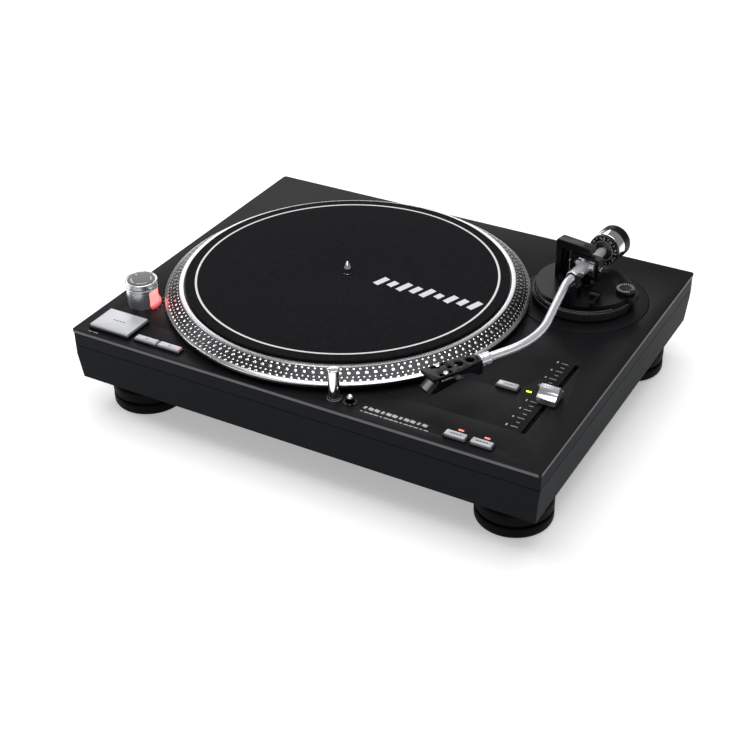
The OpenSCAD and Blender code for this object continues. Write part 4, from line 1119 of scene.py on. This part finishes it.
def armBase():
    disc = [(r * mm, deckTop + h * mm) for r, h in ((40, -3), (59, -3), (59, 0.05), (58.6, 0.4),
            (40, 0.4), (40, -3))]
    c = [*baseDisc, 0]
    shown(turned("baseDisc", disc, "plinth", "deckPaintWithPaintedHighlight", centre=c, steps=160, radius=0.0003,
            slot="arm_black"), "arm_base_plate")
    c = [*pivot[:2], 0]
    low, top = deckTop + 1.6 * mm, topOf("height_ring")
    ring = np.array([(38.44 * mm, low), (43.4 * mm, low), (44.2 * mm, low + 0.7 * mm),
            (44.2 * mm, low + 1.2 * mm), (44.2 * mm, top - 1.9 * mm), (44.0 * mm, top - 1.4 * mm),
                     (43.2 * mm, top - 0.2 * mm), (42.8 * mm, top), (38.44 * mm, top), (38.44 * mm, low)])

    def teeth(p, angle):
        # the outer wall follows the angle's sine, sharpened, 88 times round; the other rows stay round
        deep = np.where((p[:, 0] > 43.9 * mm), 0.0068, 0.0)
        return 1 + deep[:, None] * np.clip(1.6 * np.sin(88 * angle), -1, 1)[None]

    # the ring's lighter black is painted sheen for light on the teeth
    shown(turned("knurledRing", ring, "height_ring", "ringBlackPaintedSheen", centre=c, steps=880, radius=0.0001,
            wave=teeth, sharp=40), "height_ring")
    # painted highlight: a thin arc of bright satin metal on the front of the platform's lower rim only
    # (205° to 325°), standing in for light caught by its bevel
    line = risen(platformTop, (43.55, -5.35), (44.06, -5.1), (44.06, -4.7), (43.55, -4.7))
    arcBlock("platformPaintedHighlight", c, line, 205, 325, "arm_pillar", "armSatin", steps=90, slot="arm_black")
    knobAt = np.array(jointCalled("antiskate_turn")["pos_m"])[:2]
    top = topOf("antiskate_knob")
    knob = risen(top, (0, -3.8), (8.2, -3.8), (8.5, -3.5), (8.5, -0.5), (8.1, 0), (5.6, 0), (5.2, -0.25),
            (0, -0.25))
    shown(turned("antiskateCap", knob, "antiskate_knob", "blackPlastic", centre=[*knobAt, 0], steps=96,
            radius=0.0002), "antiskate_knob")
    rows = []
    for k in range(22):
        a = k * math.tau / 24
        half = 0.95 if k % 4 else 1.25
        rows.append((knobAt[0] + (7.9 * mm - half * mm) * math.cos(a),
                knobAt[1] + (7.9 * mm - half * mm) * math.sin(a), top + 0.02 * mm, half * mm, 0.2 * mm,
                0.03 * mm, a))
    slabs("antiskateTicks", rows, "antiskate_knob", "printWhite")
    rows = []
    for k in range(26):
        a = math.radians(196 + k * 2.2)
        rows.append((pivot[0] + 46.72 * mm * math.cos(a), pivot[1] + 46.72 * mm * math.sin(a),
                deckTop + (8.2 if k % 5 else 8.6) * mm, 0.05 * mm, 0.13 * mm,
                (0.7 if k % 5 else 1.1) * mm, a))
    slabs("heightTicks", rows, "plinth", "printGrey")


def counterweightPieces():
    def ridges(p, angle):
        # the grip's wall dips 64 times round
        deep = np.where((p[:, 0] > 14.8 * mm) & (p[:, 1] > 47.6 * mm) & (p[:, 1] < 55.6 * mm), 0.016, 0.0)
        return 1 - deep[:, None] * np.clip(1.5 * np.sin(64 * angle), 0, 1)[None]

    band = profileOf((5.2, 36), (13.6, 36), (14.3, 36.1), (14.6, 36.5), (14.6, 46.6), (14.2, 47),
            (5.2, 47), (5.2, 36))
    shown(turned("weightBand", band, "counterweight", "chrome", centre=pivot, axis=armBack, steps=96,
            radius=0.0002, slot="weight_metal"), "counterweight")
    grip = profileOf((5.2, 47), (14.7, 47), (15, 47.3), (15, 48), (15, 55.2), (15, 56.2), (14.3, 57),
            (11.5, 57), (11, 56.4), (5.2, 56.4), (5.2, 47))
    shown(turned("weightGrip", grip, "counterweight", "armBlack", centre=pivot, axis=armBack, steps=512,
            radius=0.0002, wave=ridges, sharp=40, slot="weight_metal"), "counterweight")
    nose = profileOf((5.2, 32.2), (7.6, 32.2), (8, 32.6), (8, 35.9), (5.2, 35.9), (5.2, 32.2))
    shown(turned("weightNose", nose, "counterweight", "darkSteel", centre=pivot, axis=armBack, steps=64,
            slot="weight_metal"), "counterweight")
    dial = profileOf((8.05, 32), (13.4, 32), (14.2, 32.7), (14.2, 35.2), (13.8, 35.65), (8.05, 35.65),
            (8.05, 32))
    shown(turned("weightDial", dial, "weight_dial", "blackPlastic", centre=pivot, axis=armBack, steps=96),
            "weight_dial")
    side = np.cross(armBack, up)
    corner = np.array([[-1, -1], [1, -1], [1, 1], [-1, 1]], float)
    points = []
    for k in range(60):
        # the first 40 are the inner scale and the last 20 the marks at the edge
        inner = k < 40
        a = (k if inner else 2 * (k - 40)) * math.tau / 40
        out = math.cos(a) * side + math.sin(a) * up
        along = -math.sin(a) * side + math.cos(a) * up
        half = (0.7 if inner else (1.5 if k % 5 == 0 else 0.7), 0.17 if inner else 0.26)
        midway = pivot + ((8.5 if inner else 13.3) + half[0] * (1
                if inner else -1)) * mm * out + 31.97 * mm * armBack
        points.append([midway + (x * half[0] * out + y * half[1] * along) * mm + depth * mm * armBack
                for depth in (-0.02, 0.3) for x, y in corner])
    face = np.array([[0, 1, 2, 3], [7, 6, 5, 4], [0, 4, 5, 1], [1, 5, 6, 2], [2, 6, 7, 3], [3, 7, 4, 0]])
    faces = (face[None] + 8 * np.arange(60)[:, None, None]).reshape(-1, 4)
    meshOf("dialTicks", np.array(points).reshape(-1, 3), faces, "weight_dial", "printWhite")
    for k, figure in enumerate(("0", "0.5", "1", "1.5", "2", "2.5", "3", "3.5")):
        a = math.radians(90 + 12 + 45 * k)
        out = math.cos(a) * side + math.sin(a) * up
        along = math.sin(a) * side - math.cos(a) * up
        spot = framed(pivot + 11.7 * mm * out + 31.95 * mm * armBack, -along, out)
        writing("dialFigure" + "ABCDEFGH"[k], figure, 2.5 * mm, spot, "weight_dial", "printWhite")


for name, tone in (("leadRed", (0.5, 0.02, 0.015)), ("leadWhite", (0.75, 0.75, 0.72)),
        ("leadGreen", (0.02, 0.25, 0.06)), ("leadBlue", (0.02, 0.06, 0.4))):
    make(name, mouldedOf(tuple(0.85 * t for t in tone), tone, 0.4))
armTube()
headshellPieces()
cartridgePieces()
bearingPieces()
armBase()
counterweightPieces()
print("tonearm made")


# ---------------------------------------------------------------- floor and lights
def floor():
    ground = bpy.data.meshes.new("floor")
    side = 6.0
    ground.from_pydata([(-side, -side, 0), (side, -side, 0), (side, side, 0), (-side, side, 0)], [],
            [(0, 1, 2, 3)])
    piece = bpy.data.objects.new("floor", ground)
    bpy.context.scene.collection.objects.link(piece)
    ground.materials.append(materials["floorWhite"])


roomLight = 0.22


def softBox(name, spot, size, power, aim=(0, 0, 0.1)):
    light = bpy.data.lights.new(name, "AREA")
    light.shape = "RECTANGLE"
    light.size, light.size_y = size
    light.energy = power
    lampHead = bpy.data.objects.new(name, light)
    bpy.context.scene.collection.objects.link(lampHead)
    way = Matrix.Translation(spot).to_translation() - Matrix.Translation(aim).to_translation()
    lampHead.matrix_world = Matrix.Translation(spot) @ way.to_track_quat("Z", "Y").to_matrix().to_4x4()


def surroundings():
    world = bpy.data.worlds.new("studio")
    bpy.context.scene.world = world
    world.use_nodes = True
    back = world.node_tree.nodes["Background"]
    back.inputs["Color"].default_value = (1, 1, 1, 1)
    # the backdrop is seen white while the room lights the object softly
    ray = world.node_tree.nodes.new("ShaderNodeLightPath")
    level = world.node_tree.nodes.new("ShaderNodeMapRange")
    level.inputs["To Min"].default_value = roomLight
    level.inputs["To Max"].default_value = 1.0
    world.node_tree.links.new(ray.outputs["Is Camera Ray"], level.inputs["Value"])
    world.node_tree.links.new(level.outputs["Result"], back.inputs["Strength"])
    bpy.context.scene.view_settings.view_transform = "Standard"


make("floorWhite", mouldedOf((0.88, 0.88, 0.88), (0.9, 0.9, 0.9), 0.7), Emission_Color=(1, 1, 1, 1),
        Emission_Strength=0.34)
floor()
softBox("topLight", (0.1, 0.1, 2.3), (2.4, 2.4), 46)
softBox("backLight", (-1.3, 1.9, 1.2), (1.6, 0.8), 9)
softBox("leftLight", (-1.5, -0.3, 0.8), (0.35, 0.9), 5)
softBox("frontLight", (0.3, -1.7, 0.9), (1.2, 0.25), 4)
surroundings()
